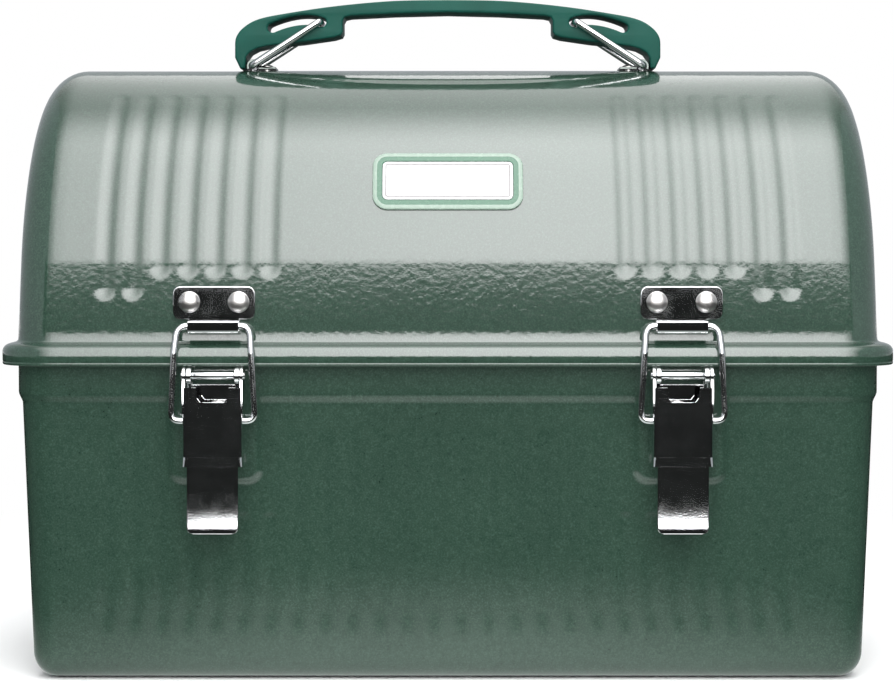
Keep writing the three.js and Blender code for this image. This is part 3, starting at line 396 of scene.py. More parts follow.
def thick_run(points, thickness):
    """The closed outline of a sheet of even thickness along an open 2-D run."""
    sides = ([], [])
    run = [Vector(p) for p in points]
    for i, here in enumerate(run):
        along = (run[min(i + 1, len(run) - 1)] - run[max(i - 1, 0)]).normalized()
        across = Vector((-along.y, along.x)) * thickness / 2
        sides[0].append(tuple(here + across))
        sides[1].append(tuple(here - across))
    return sides[0] + sides[1][::-1]


def across_x(outline, centre, width):
    """Two rings: a (y, z) outline at either end of a width along x."""
    return [[(centre + side * width / 2, y, z) for y, z in outline] for side in (-1, 1)]


def strip(run, bend, steps, centre, width):
    """Rings of a strip of fitting steel along a (y, z) run with rounded bends."""
    return across_x(thick_run(rounded_run(run, bend, steps), LEAF), centre, width)


def box_corners(x, y, w, h):
    return [(x - w, y - h), (x + w, y - h), (x + w, y + h), (x - w, y + h)]


def across_y(outline, low, high):
    """Two rings: an (x, z) outline at y = low and y = high."""
    return [[(x, y, z) for x, z in outline] for y in (low, high)]


def wire(points, diameter, bend, sides=16, steps=7):
    """Rings of a round wire through points, with rounded bends and softly rounded ends."""
    path = [Vector(p) for p in rounded_run(points, bend, steps)]
    path = [p for i, p in enumerate(path) if i == 0 or (p - path[i - 1]).length > 0.02]
    radius = diameter / 2
    along = (path[1] - path[0]).normalized()
    up = Vector((0, 0, 1)) if abs(along.z) < 0.8 else Vector((1, 0, 0))
    up = (up - along * up.dot(along)).normalized()
    rings = []
    for i, point in enumerate(path):
        heading = (path[min(i + 1, len(path) - 1)] - path[max(i - 1, 0)]).normalized()
        up = along.rotation_difference(heading) @ up
        along = heading
        side = along.cross(up)
        sizes = [(0.0, radius)]
        if i == 0:
            sizes = [(-0.0, radius * 0.7), (0.3, radius)]
        if i == len(path) - 1:
            sizes = [(-0.3, radius), (0.0, radius * 0.7)]
        for shift, r in sizes:
            centre = point + along * shift
            rings.append([
                centre + (up * math.cos(a) + side * math.sin(a)) * r
                for a in (2 * math.pi * k / sides for k in range(sides))
            ])
    return rings


def turned(profile, sides=28):
    """Rings round the y axis for (radius, y) points; the ends close on tiny rings."""
    return [
        [(r * math.cos(a), y, r * math.sin(a)) for a in (2 * math.pi * k / sides for k in range(sides))]
        for r, y in profile
    ]


def barrel(radius, half, chamfer):
    """(radius, along) points of a round bar with softened ends."""
    slim, short = radius - chamfer, half - chamfer
    return [(slim, -half), (radius, -short), (radius, short), (slim, half)]


def laid_along_x(profile, x, y, z):
    return [[(x + along, y + px, z + pz) for px, along, pz in ring] for ring in turned(profile)]


def rod_x(radius, length, x, y, z):
    """A round rod along x."""
    return laid_along_x(barrel(radius, length / 2, 0.25), x, y, z)


def tube_x(outer, inner, length, x, y, z):
    """Rings of a hollow barrel along x; loft them closed."""
    half = length / 2
    return laid_along_x(barrel(outer, half, 0.2) + [(inner, half), (inner, -half)], x, y, z)


# ---- pressed base

def lower_inset(z):
    """How far the body under the shoulder is inside the upper wall."""
    if z >= SHOULDER_LOW:
        return SHOULDER_STEP * (1 - smoothstep(SHOULDER_LOW, SHOULDER_TOP, z))
    return SHOULDER_STEP + BASE_TAPER * (1 - z / SHOULDER_LOW)


def groove_x(index):
    return (index - (GROOVE_COUNT - 1) / 2) * GROOVE_PITCH


def groove_top(x, face):
    """A groove stops short of the shoulder, or of the boss above it."""
    for centre, side, half, low in BOSSES:
        if side == face and abs(centre - x) < half + GROOVE_R:
            return low - BOSS_TO_GROOVE
    return GROOVE_HIGH


def groove_dip(x, along, low, high, centre):
    """Depth of one round-ended groove at (x, along)."""
    past = max(low + GROOVE_R - along, along - (high - GROOVE_R), 0.0)
    q = math.hypot(x - centre, past) / GROOVE_R
    return GROOVE_DEPTH * (1 - q * q) ** 1.5 if q < 1 else 0.0


def nearest_groove(x):
    return min(max(round(x / GROOVE_PITCH + (GROOVE_COUNT - 1) / 2), 0), GROOVE_COUNT - 1)


def base_dip(x, z, face):
    centre = groove_x(nearest_groove(x))
    runs_out = smoothstep(GROOVE_LOW, GROOVE_LOW + 12, z)
    return groove_dip(x, z, GROOVE_LOW, groove_top(centre, face), centre) * runs_out


def boss_lift(x, z, face):
    """0 on the lower body, 1 on a boss, with a soft pressed edge."""
    best, corner = 0.0, 5.0
    for centre, side, half, low in BOSSES:
        if side != face or z > SHOULDER_TOP + 1:
            continue
        dx = abs(x - centre) - (half - corner)
        dz = (low + corner) - z
        reach = math.hypot(max(dx, 0), max(dz, 0)) if (dx > 0 or dz > 0) else 0.0
        best = max(best, 1 - smoothstep(corner - 1.7, corner + 1.3, reach))
    return best


def wall_columns():
    """(centre x, centre y, normal x, normal y) round the wall, anticlockwise from the front left."""
    cx, cy = HALF_W - CORNER_R, HALF_D - CORNER_R
    xs = stepped(-cx, (-GROOVED_TO, 3.5), (GROOVED_TO, GROOVE_PITCH / 10), (cx, 3.5))
    ys = spaced(-cy, cy, 8.0)
    arc = sweep(0, 90, 7.5)[1:-1]
    half = [(x, -cy, 0, -1) for x in xs]
    half += [(cx, -cy, math.sin(a), -math.cos(a)) for a in arc]
    half += [(cx, y, 1, 0) for y in ys]
    half += [(cx, cy, math.cos(a), math.sin(a)) for a in arc]
    return half + [(-x, -y, -nx, -ny) for x, y, nx, ny in half]


def base_ring(columns, out, z, skin=0.0, pressed=False):
    """One ring round the wall, moved out by `out`, with the grooves and bosses pressed in."""
    ring = []
    for cx, cy, nx, ny in columns:
        push = out
        if pressed and nx == 0:
            lift = boss_lift(cx, z, ny)
            push = out + lift * lower_inset(z) - base_dip(cx, z, ny)
        reach = max(CORNER_R + push - skin, 0.4)
        ring.append((cx + nx * reach, cy + ny * reach, z))
    return ring


def base_shell():
    columns = wall_columns()
    above = [RIM_Z - 7.6, RIM_Z]  # the plain band under the rim
    heights = stepped(BOTTOM_R, (14.5, 1.7), (28, 1.1), (58, 5), (66, 0.9), (74, 2), (80, 0.7), (88, 1),
                      (97.5, 0.8), (SHOULDER_LOW, 1.2), (SHOULDER_TOP, 0.5)) + above
    coarse = stepped(BOTTOM_R, (14, 2.3), (28, 2.3), (60, 11), (66, 1.5), (96, 1.8),
                     (SHOULDER_TOP, 1.5)) + above
    rings = []
    arc = sweep(0, 84, 10.5)
    for a in arc:
        z = BOTTOM_R * (1 - math.cos(a))
        rings.append(base_ring(columns, -lower_inset(z) - BOTTOM_R * (1 - math.sin(a)), z))
    rings += [base_ring(columns, -lower_inset(z), z, 0.0, True) for z in heights]
    curl = rounded_run([(0, 0.3), (0, 1.2), (4.4, 1.2), (4.4, 6.7), (-SHEET, 6.7), (-SHEET, 4)], 1.4, 5)
    rings += [base_ring(columns, out, RIM_Z + up) for out, up in curl]
    rings += [base_ring(columns, -lower_inset(z), z, SHEET, True) for z in coarse[::-1]]
    edge = BOTTOM_R - SHEET
    for a in arc[::-1]:
        z = BOTTOM_R - edge * math.cos(a)
        rings.append(base_ring(columns, -lower_inset(z) - SHEET - edge * (1 - math.sin(a)), z))
    return Solid().loft(rings).piece("base_shell_pressed", PAINT, "base", "base_shell", smooth=40)


# ---- pressed lid

def lid_dip(x, along):
    """Depth of the lid's grooves; along is the distance up the dome from its axis."""
    index = nearest_groove(x)
    from_end = min(index, GROOVE_COUNT - 1 - index)
    if from_end >= LID_GROOVES:
        return 0.0
    low = -(LID_GROOVE_LOWER if from_end < 2 else LID_GROOVE_LOW)
    return groove_dip(x, along, low, math.radians(LID_GROOVE_TOP) * HALF_D, groove_x(index))


def pad_height(x, y):
    """Height of the handle pad's crown, and how much of it stands at (x, y)."""
    reach = (abs(x) / PAD_HALF_L) ** PAD_POWER + (abs(y) / PAD_HALF_W) ** PAD_POWER
    crown = CREST + PAD_PROUD - PAD_R + math.sqrt(max(PAD_R * PAD_R - y * y, 0.0))
    return crown, 1 - smoothstep(0.955, 1.03, reach ** (1 / PAD_POWER))


def lid_rows(fine):
    """Places from the front shelf up and over: ("wall", height) or ("dome", degrees), and the face."""
    wall_h = DOME_Z - SHELF_Z
    if fine:
        wall = stepped(0, (10, 3), (wall_h - 0.01, 1.1))
        dome = stepped(0, (6, 1.2), (50, 3), (60, 0.8), (64, 1.5), (90, 0.75))
    else:
        wall = stepped(0, (10, 5), (wall_h - 0.01, 1.8))
        dome = stepped(0, (6, 2), (50, 5.5), (60, 1.6), (62, 2), (90, 7))
    up = [("wall", SHELF_Z + v) for v in wall] + [("dome", v) for v in dome]
    return [(kind, v, -1) for kind, v in up] + [(kind, v, 1) for kind, v in up[-2::-1]]


def lid_stations():
    """(x of the ring, inset, angle of the end fillet) across the lid."""
    cx = HALF_W - CORNER_R
    arc = sweep(0, 90, 7.5)[:-1]
    xs = stepped(-cx, (-GROOVED_TO, 3.5), (-50, GROOVE_PITCH / 10), (50, 5))
    xs = merged(xs, [-x for x in xs])
    return [(-cx, a) for a in arc] + [(x, math.pi / 2) for x in xs] + [(cx, a) for a in arc[::-1]]


def lid_point(station, row, skin, fine):
    """A point of the lid's wall or dome."""
    cx, a = station
    kind, value, face = row
    edge = CORNER_R - skin
    inset = edge * (1 - math.sin(a))
    x = cx + math.copysign(edge * math.cos(a), cx) if a < math.pi / 2 else cx
    radius = HALF_D - skin - inset
    if kind == "wall":
        dip = lid_dip(x, value - DOME_Z) if a >= math.pi / 2 else 0.0
        y, z = face * (radius - dip), value
    else:
        angle = math.radians(value)
        dip = lid_dip(x, angle * HALF_D) if a >= math.pi / 2 else 0.0
        y, z = face * (radius - dip) * math.cos(angle), DOME_Z + (radius - dip) * math.sin(angle)
        if fine:
            crown, share = pad_height(x, y)
            z += share * max(crown - z, 0.0)
    x *= 1 - LID_DRAFT / HALF_W * max(z - SHELF_Z, 0.0)
    return (x, y, z)


def lid_skin(stations, skin, fine):
    """Points and faces of one skin of the lid above its shelf, and the loop round its lower edge."""
    rows = lid_rows(fine)
    count = len(rows)
    verts = [lid_point(station, row, skin, fine) for station in stations for row in rows]
    faces = []
    for s in range(len(stations) - 1):
        a, b = s * count, (s + 1) * count
        faces += [[a + r, b + r, b + r + 1, a + r + 1] for r in range(count - 1)]
    cy = HALF_D - CORNER_R
    caps = {}
    for end, first in ((-1, 0), (1, (len(stations) - 1) * count)):
        ring = list(range(first, first + count))
        low = spaced(-cy, cy, 8.0)[1:-1]
        extra = list(range(len(verts), len(verts) + len(low)))
        verts += [(verts[first][0], y, SHELF_Z) for y in low]
        caps[end] = [ring[0]] + extra + [ring[-1]]
        outline = ring + extra[::-1]
        centre = Vector((verts[first][0], 0, DOME_Z - 10))
        inner = []
        for index in outline:
            p = Vector(verts[index])
            toward = centre - p
            toward.x = 0
            q = p + toward.normalized() * (1.2 if p.z > SHELF_Z + 0.5 else 0.0)
            q.x = end * (HALF_W - skin) * (1 - LID_DRAFT / HALF_W * max(q.z - SHELF_Z, 0.0))
            inner.append(q)
        start = len(verts)
        verts += [tuple(q) for q in inner]
        for k in range(len(outline)):
            nxt = (k + 1) % len(outline)
            if inner[k] != Vector(verts[outline[k]]) or inner[nxt] != Vector(verts[outline[nxt]]):
                faces.append([outline[k], outline[nxt], start + nxt, start + k])
        faces.append([start + k for k in range(len(outline))])
    top = len(stations)
    front = [s * count for s in range(top)]
    back = [s * count + count - 1 for s in range(top)][::-1]
    loop = front + caps[1][1:-1] + back + caps[-1][1:-1][::-1]
    return verts, faces, loop


def loop_columns(stations):
    """(centre x, centre y, normal x, normal y) for each point of a lid skin's lower loop."""
    cx, cy = HALF_W - CORNER_R, HALF_D - CORNER_R
    front = []
    for x, a in stations:
        front.append((x, -cy, math.copysign(math.cos(a), x) if a < math.pi / 2 else 0, -math.sin(a)))
    side = spaced(-cy, cy, 8.0)[1:-1]
    back = [(x, cy, nx, -ny) for x, _, nx, ny in front[::-1]]
    return front + [(cx, y, 1, 0) for y in side] + back + [(-cx, y, -1, 0) for y in side[::-1]]


# The skirt's section, outside and back inside: (out from the wall, up from the rim)
SKIRT = [
    (0.02, 10.1), (0.06, 9.5), (0.25, 9.0), (0.75, 8.6), (1.6, 8.3), (2.6, 8.1), (3.6, 7.8),
    (4.4, 7.45), (5.0, 7.0), (5.5, 6.45), (5.82, 5.9), (6.0, 5.2), (6.0, 3.3), (6.0, 1.6), (5.9, 1.3),
    (5.95, 1.0), (6.0, 0.6), (5.85, 0.2), (5.5, 0.0), (5.25, 0.2), (5.2, 0.7), (5.2, 4.2), (5.0, 5.6),
    (4.4, 6.3), (3.5, 6.8), (2.2, 7.1), (1.0, 7.3), (0.0, 7.6), (-0.55, 8.3), (-0.75, 9.7),
]


def lid_shell():
    stations = lid_stations()
    outer_verts, outer_faces, outer_loop = lid_skin(stations, 0.0, True)
    inner_verts, inner_faces, inner_loop = lid_skin(stations, SHEET, False)
    columns = loop_columns(stations)
    body = Solid().add(outer_verts, outer_faces)
    shift = len(body.verts)
    body.add(inner_verts, [face[::-1] for face in inner_faces])
    loops = [outer_loop]
    for out, up in SKIRT:
        start = len(body.verts)
        reach = CORNER_R + out
        body.verts += [(cx + nx * reach, cy + ny * reach, RIM_Z + up) for cx, cy, nx, ny in columns]
        loops.append(list(range(start, start + len(columns))))
    loops.append([shift + i for i in inner_loop])
    count = len(columns)
    for low, high in zip(loops, loops[1:]):
        body.faces += [[low[i], high[i], high[(i + 1) % count], low[(i + 1) % count]] for i in range(count)]
    return body.piece("lid_shell_pressed", PAINT, "lid", "lid_shell", smooth=40)


# ---- rivets

GRIP_RUN = SHEET + LEAF + 3 * GAP
OUTSIDE = HALF_D + 2 * GAP + LEAF - 0.25  # under a head on a plate against the wall
# (head radius, head height, shank radius)
KEEPER_RIVET, PLATE_RIVET = (4.0, 1.9, 1.8), (3.0, 1.2, 1.5)
HINGE_RIVET, BRACKET_RIVET = (3.6, 1.5, 1.6), (2.6, 1.0, 1.3)


def rivet(name, body, node, x, seat, across, face, form, grip):
    """A domed rivet along y, or upright where face is 0, with its tail closing the far side."""
    head, height, shank = form
    tilts = map(math.radians, (2, 15, 30, 45, 60, 75, 86))
    profile = [(head * math.sin(a), height * math.cos(a)) for a in tilts]
    profile += [(head, -0.02), (head - 0.1, -0.12), (shank, -0.14), (shank, -grip)]
    tail = ((1.6 * shank, 0.05), (1.6 * shank, 0.35), (1.2 * shank, 0.7), (0.05, 0.78))
    profile += [(wide, -grip - past) for wide, past in tail]
    rings = []
    for ring in turned(profile):
        if face:
            rings.append([(x + px, seat + face * py, across + pz) for px, py, pz in ring])
        else:
            rings.append([(x + px, across + pz, seat + py) for px, py, pz in ring])
    Solid().loft(rings).piece(name, RIVET, body, node, smooth=50)


# ---- latches

HOOK_W, KEEPER_W, KEEPER_H, KEEPER_LOW = 19.1, 30.7, 12.4, RIM_Z + 17.3
HOOK_LOW, HOOK_TIP = KEEPER_LOW - 5.5, KEEPER_LOW - 0.6
LOOP_WIRE, LOOP_BAR_OUT = 2.6, 80.3  # the hooked bar is this far in front of the middle
PIN_Y, PIN_Z = joint_place("lever_right_pivot")[1:]
BAR_Y, BAR_Z = joint_place("loop_right_pivot")[1:]
LEVER_HALF, LEVER_FACE = 11.2, -86.6
LEVER_TOP, LEVER_STEP, LEVER_TIP = PIN_Z - 4.3, PIN_Z - 33.7, PIN_Z - 58.5
TAIL_HALF, NOTCH_LOW, LEVER_FLARE = 9.6, PIN_Z - 9.8, 1.1
PLATE_LOW, PLATE_RIVETS = PIN_Z - 37.3, (PIN_Z - 30.3, PIN_Z - 13.1)


def rounded_box_outline(x, z, width, height, radius, steps=6):
    return rounded([(*corner, radius) for corner in box_corners(x, z, width / 2, height / 2)], steps)


def keeper(name, x):
    """Riveted plate with a tongue that curls forward and up round the loop."""
    back = -(HALF_D + GAP)
    plate = rounded_box_outline(x, KEEPER_LOW + KEEPER_H / 2, KEEPER_W, KEEPER_H, 3.2)
    lip = -(LOOP_BAR_OUT + LOOP_WIRE / 2 + GAP + LEAF / 2)
    middle = back - LEAF / 2
    floor = HOOK_LOW + LEAF / 2
    run = [(middle, KEEPER_LOW + 1.2), (middle, floor), (lip, floor), (lip, HOOK_TIP)]
    body = Solid().loft(across_y(plate, back - LEAF, back)).loft(strip(run, 2.2, 8, x, HOOK_W))
    body.piece(f"keeper_{name}", CHROME, "lid", f"latch_keeper_{name}", bevel=0.32)


def latch_loop(name, x):
    """Wire loop: hooked bar on top, cranked forward past the rim, ends turned into the lever."""
    front = -(HALF_D + 6 + LOOP_WIRE / 2 + 0.6)
    half = [(8.6, BAR_Y, BAR_Z), (15.7, BAR_Y, BAR_Z), (14.3, front, RIM_Z + 5.7),
            (13.5, -LOOP_BAR_OUT, HOOK_LOW + 3)]
    points = [(x + a, b, c) for a, b, c in half] + [(x - a, b, c) for a, b, c in half[::-1]]
    Solid().loft(wire(points, LOOP_WIRE, 4.4)).piece(
        f"loop_{name}", WIRE, f"loop_{name}", f"latch_loop_{name}", smooth=60)


def latch_plate(name, x):
    """Plate on the boss with two ears rolled round the lever's pin."""
    back = -(HALF_D + GAP)
    front = back - LEAF
    top = PIN_Z - 3.6
    right = [(8.5, PLATE_LOW, 2), (8.5, top - 8, 0.5), (9.9, top - 7, 0.5), (9.9, top, 0.3)]
    left = [(-u, v, radius) for u, v, radius in right]
    plate = rounded([(x + u, v, radius) for u, v, radius in left[:1] + right + left[:0:-1]], 5)
    body = Solid().loft(across_y(plate, front, back))
    for side in (-1, 1):
        centre = x + side * 8.95
        run = [(back - 0.5, top - 6), (back - 0.5, top - 1.5), (PIN_Y + 3.2, PIN_Z - 2.2)]
        body.loft(strip(run, 1.5, 4, centre, 1.9))
        web = rounded([(back, top - 8, 0), (back, PIN_Z - 1.5, 0.8), (PIN_Y + 1.5, PIN_Z + 1, 0.8),
                       (PIN_Y, PIN_Z - 2, 0.5), (front, top - 8, 0)], 3)
        body.loft(across_x(web, centre, 1.6))
        body.loft(tube_x(3.0, 1.6, 1.9, centre, PIN_Y, PIN_Z), closed=True)
    body.piece(f"latch_plate_{name}_pressed", CHROME, "base", f"latch_plate_{name}", bevel=0.22)


def channel_outline(x, depth):
    """(x, y) outline of the lever's U section: a face with two flanges turned back."""
    out, face, back = LEVER_HALF - LEAF / 2, LEVER_FACE + LEAF / 2, LEVER_FACE + depth
    run = rounded_run([(x - out, back), (x - out, face), (x + out, face), (x + out, back)], 1.3, 6)
    return thick_run(run, LEAF)


def latch_lever(name, x):
    """Over-centre lever: a channel with ears round the pin, a notch at the top and a thin tail."""
    body = Solid()
    bend, face = LEVER_STEP + 3.5, LEVER_FACE + LEAF / 2
    for section in (((LEVER_STEP, 1.6), (bend, 5.6)), ((bend, 5.6), (NOTCH_LOW, 6.2))):
        body.loft([[(px, py, z) for px, py in channel_outline(x, depth)] for z, depth in section])
    shelf = NOTCH_LOW + 1.6
    for side in (-1, 1):
        out = x + side * (LEVER_HALF - LEAF / 2)
        for section in (((NOTCH_LOW, 4.4), (shelf, 5.6)), ((shelf, 5.6), (LEVER_TOP, 6.1))):
            rings = []
            for z, inner in section:
                run = rounded_run([(x + side * inner, face), (out, face), (out, LEVER_FACE + 6.2)], 1.3, 6)
                rings.append([(px, py, z) for px, py in thick_run(run, LEAF)])
            body.loft(rings)
        ear = [(LEVER_FACE + 0.4, PIN_Z - 14), (LEVER_FACE + 0.4, LEVER_TOP)]
        ear += [(PIN_Y + 3.1 * math.cos(a), PIN_Z + 3.1 * math.sin(a)) for a in sweep(195, -25, 12)]
        ear += [(LEVER_FACE + 6.3, PIN_Z - 10), (LEVER_FACE + 6.3, PIN_Z - 14)]
        body.loft(across_x(ear, out, LEAF))
    body.loft(lever_tail(x))
    body.piece(f"lever_{name}", LEVER_PLATE, f"lever_{name}", f"latch_lever_{name}", smooth=35, bevel=0.18)


def lever_tail(x):
    """Rings of the lever's thin tail, which curls forward to a rounded tip."""
    rings = []
    radius = 2.1
    tip = [LEVER_TIP + radius * (1 - math.cos(a)) for a in sweep(0, 90, 15)]
    run = spaced(LEVER_TIP + radius, LEVER_STEP, 1.6)
    for z in merged(tip, run, [LEVER_STEP + 0.06, LEVER_STEP + 3.0]):
        into = max(LEVER_TIP + radius - z, 0.0)
        half = TAIL_HALF - (radius - math.sqrt(max(radius * radius - into * into, 0.0)))
        drop = max(LEVER_STEP - 2 - z, 0.0) / (LEVER_STEP - 2 - LEVER_TIP)
        face = LEVER_FACE - LEVER_FLARE * drop ** 2
        skin = 0.25 if z > LEVER_STEP else 0.0
        front, rear, soft = face + skin, face + LEAF - skin, 0.48 - skin / 2
        corners = box_corners(x, (front + rear) / 2, half, (rear - front) / 2)
        rings.append([(px, py, z) for px, py in rounded([(*corner, soft) for corner in corners], 4)])
    return rings


def latch_pin(name, x):
    body = Solid().loft(rod_x(1.5, 24.0, x, PIN_Y, PIN_Z))
    body.piece(f"latch_pin_{name}_turned", CHROME, "base", f"latch_pin_{name}", smooth=50)


# ---- rear hinges

HINGE_Y, HINGE_Z = joint_place("lid_hinge")[1:]
HINGE_W, HINGE_MIDDLE, KNUCKLE_R = 40.0, 19.4, 2.65
LEAF_LOW, LEAF_HIGH, LEAF_RIVET = RIM_Z - 26.7, RIM_Z + 29.3, 6.5


def hinge_leaves(name, x):
    seat = HALF_D + GAP + LEAF / 2
    side_w = (HINGE_W - HINGE_MIDDLE) / 2 - GAP
    plate = rounded_box_outline(x, (LEAF_LOW + HINGE_Z - 8) / 2, HINGE_W, HINGE_Z - 8 - LEAF_LOW, 2.5)
    body = Solid().loft(across_y(plate, seat - LEAF / 2, seat + LEAF / 2))
    for side in (-1, 1):
        centre = x + side * (HINGE_W - side_w) / 2
        arm = [(seat, HINGE_Z - 12), (seat, HINGE_Z - 8), (HINGE_Y - 0.9, HINGE_Z - 2.35)]
        body.loft(strip(arm, 2.5, 6, centre, side_w))
        body.loft(tube_x(KNUCKLE_R, 1.6, side_w, centre, HINGE_Y, HINGE_Z), closed=True)
    body.piece(f"hinge_base_leaf_{name}_rolled", CHROME, "base", f"hinge_base_leaf_{name}", bevel=0.22)

    clear = HALF_D + 6 + 0.6 + LEAF / 2
    plate = rounded_box_outline(x, LEAF_HIGH - 7.5, HINGE_W, 15, 2.5)
    over = [(seat, LEAF_HIGH - 13), (seat, RIM_Z + 13.5), (clear, RIM_Z + 8.3), (clear, HINGE_Z + 5.0)]
    tongue = [(clear, RIM_Z + 8.3), (clear, HINGE_Z + 4), (HINGE_Y - 2.3, HINGE_Z + 0.8)]
    body = Solid().loft(across_y(plate, seat - LEAF / 2, seat + LEAF / 2))
    body.loft(strip(over, 2.2, 6, x, HINGE_W))
    body.loft(strip(tongue, 1.0, 3, x, HINGE_MIDDLE))
    body.loft(tube_x(KNUCKLE_R, 1.6, HINGE_MIDDLE, x, HINGE_Y, HINGE_Z), closed=True)
    body.piece(f"hinge_lid_leaf_{name}_rolled", CHROME, "lid", f"hinge_lid_leaf_{name}", bevel=0.22)

    Solid().loft(rod_x(1.5, HINGE_W + 2, x, HINGE_Y, HINGE_Z)).piece(
        f"hinge_pin_{name}_turned", CHROME, "base", f"hinge_pin_{name}", smooth=50)


# ---- handle

STRUT_X, _, STRUT_Z = joint_place("strut_right_pivot")
BAR_X, BAR_TOP_Z = 50.95, CREST + 19.3
STRUT_WIRE = 2.7
HANDLE_TOP, HANDLE_HALF, HANDLE_DEPTH = CREST + 28, 85.0, 20.0
GRIP_T, POD_IN = 4.9, 41.9
STRUT_OPEN, SLOT_DROP = 75.8, 2.4


def spline(points, steps):
    """Catmull-Rom points through a run."""
    run = [Vector(points[0])] + [Vector(p) for p in points] + [Vector(points[-1])]
    out = []
    for i in range(1, len(run) - 2):
        a, b, c, d = run[i - 1 : i + 3]
        for k in range(steps):
            t = k / steps
            square, cube = 2 * a - 5 * b + 4 * c - d, 3 * b - a - 3 * c + d
            out.append(tuple(0.5 * (2 * b + (c - a) * t + square * t * t + cube * t ** 3)))
    out.append(tuple(run[-2]))
    return out


def slot_outline():
    """The arched slot that a strut's cross bar slides in, at the left end of the handle."""
    rest = math.atan2(BAR_TOP_Z - STRUT_Z, STRUT_X - BAR_X)
    length = math.hypot(STRUT_X - BAR_X, BAR_TOP_Z - STRUT_Z)
    turn = math.radians(STRUT_OPEN) - rest
    lift = length * (math.sin(rest + turn) - math.sin(rest)) + SLOT_DROP
    half = STRUT_WIRE / 2 + 2 * GAP
    line = []
    for t in spaced(-0.04, 1.0, 0.07):
        angle = rest + t * turn
        line.append((-STRUT_X + length * math.cos(angle), STRUT_Z + length * math.sin(angle) - lift * t))
    outline = thick_run(line, 2 * half)
    count = len(line)
    ends = []
    for centre, near in ((line[-1], line[-2]), (line[0], line[1])):
        away = (Vector(centre) - Vector(near)).normalized()
        start = math.atan2(away.y, away.x) + math.pi / 2
        ends.append([(centre[0] + half * math.cos(start - a), centre[1] + half * math.sin(start - a))
                     for a in sweep(20, 160, 20)])
    return outline[:count] + ends[0] + outline[count:] + ends[1]


def handle_outline():
    """Left half of the front outline, from the middle of the top round to the middle below."""
    foot, palm = CREST + PAD_PROUD + 2 * GAP, HANDLE_TOP - GRIP_T
    crown = [(0, 0), (-21.9, 0.4), (-44.3, 2.4), (-63.6, 5.2), (-75.4, 7.6), (-81.6, 11), (-84.6, 15),
             (-HANDLE_HALF, 19.5)]
    pod = [(-HANDLE_HALF, 4.2), (-83, 0), (-81.1, 0), (-80.6, 4.5), (-79.2, 6.4), (-76.4, 7.9), (-72.6, 8.8),
           (-66, 9.7), (-58, 10.5), (-45.6, 12.3), (-POD_IN - 0.7, 13.2), (-POD_IN, 14.6)]
    grip = [(-POD_IN, 3.4), (-POD_IN + 0.8, 1.9), (-POD_IN + 3, 1.4), (-21, 0.5), (0, 0)]
    top = spline([(u, HANDLE_TOP - down) for u, down in crown], 6)
    return top + [(u, foot + up) for u, up in pod] + [(u, palm - down) for u, down in grip]


def signed_area(loop):
    """Signed area of a closed outline; positive when it runs anticlockwise."""
    return sum(a[0] * b[1] - b[0] * a[1] for a, b in zip(loop, loop[1:] + loop[:1])) / 2


def inset_loop(loop, depth):
    """The outline moved to its left by depth, each corner along its own bisector."""
    out = []
    for i, here in enumerate(loop):
        p = Vector(here)
        into = (p - Vector(loop[i - 1])).normalized()
        away = (Vector(loop[(i + 1) % len(loop)]) - p).normalized()
        normal = Vector((-into.y - away.y, into.x + away.x))
        if normal.length < 1e-6:
            normal = Vector((-into.y, into.x))
        normal.normalize()
        reach = depth / max(normal.dot(Vector((-into.y, into.x))), 0.6)
        out.append(tuple(p + normal * reach))
    return out


def rounded_slab(loops, low, high, bevel, steps=4):
    """A slab along y through outlines (the first is the outside, the rest are holes), edges rounded."""
    loops = [loop if (signed_area(loop) > 0) == (i == 0) else loop[::-1] for i, loop in enumerate(loops)]
    angles = sweep(0, 90, 90 / steps)
    section = [(bevel * (1 - math.sin(a)), low + bevel * (1 - math.cos(a))) for a in angles]
    section += [(depth, low + high - y) for depth, y in section[::-1]]
    body, caps = Solid(), [[], []]
    for loop in loops:
        rings = [[(u, y, v) for u, v in inset_loop(loop, depth)] for depth, y in section]
        start, count = len(body.verts), len(loop)
        body.verts += [p for ring in rings for p in ring]
        for k in range(len(rings) - 1):
            body.faces += ring_faces(start + k * count, start + (k + 1) * count, count)
        caps[0].append(list(range(start, start + count)))
        caps[1].append(list(range(start + (len(rings) - 1) * count, start + len(rings) * count)))
    for cap in caps:
        flat = [i for ring in cap for i in ring]
        outlines = [[Vector((body.verts[i][0], body.verts[i][2], 0)) for i in ring] for ring in cap]
        body.faces += [[flat[i] for i in face] for face in tessellate_polygon(outlines)]
    return body


def handle():
    """Moulded grip: one slab with rounded edges and two arched slots."""
    left = handle_outline()
    whole = left + [(-u, v) for u, v in left[1:-1][::-1]]
    slot = slot_outline()
    half = HANDLE_DEPTH / 2
    rounded_slab([whole, slot, [(-u, v) for u, v in slot]], -half, half, 0.85).piece(
        "handle_moulded", GRIP, "handle", "handle", smooth=38)


def strut(name, side):
    """Wire rectangle: its lower bar turns under the bracket, its upper bar runs in the slot."""
    reach = HANDLE_DEPTH / 2 + STRUT_WIRE / 2 + 2 * GAP
    low, high = (side * STRUT_X, STRUT_Z), (side * BAR_X, BAR_TOP_Z)
    points = [(low[0], 0.4, low[1]), (low[0], reach, low[1]), (high[0], reach, high[1]),
              (high[0], -reach, high[1]), (low[0], -reach, low[1]), (low[0], -0.4, low[1])]
    Solid().loft(wire(points, STRUT_WIRE, 2.2)).piece(
        f"strut_{name}_bent", WIRE, f"strut_{name}", f"handle_strut_{name}", smooth=60)


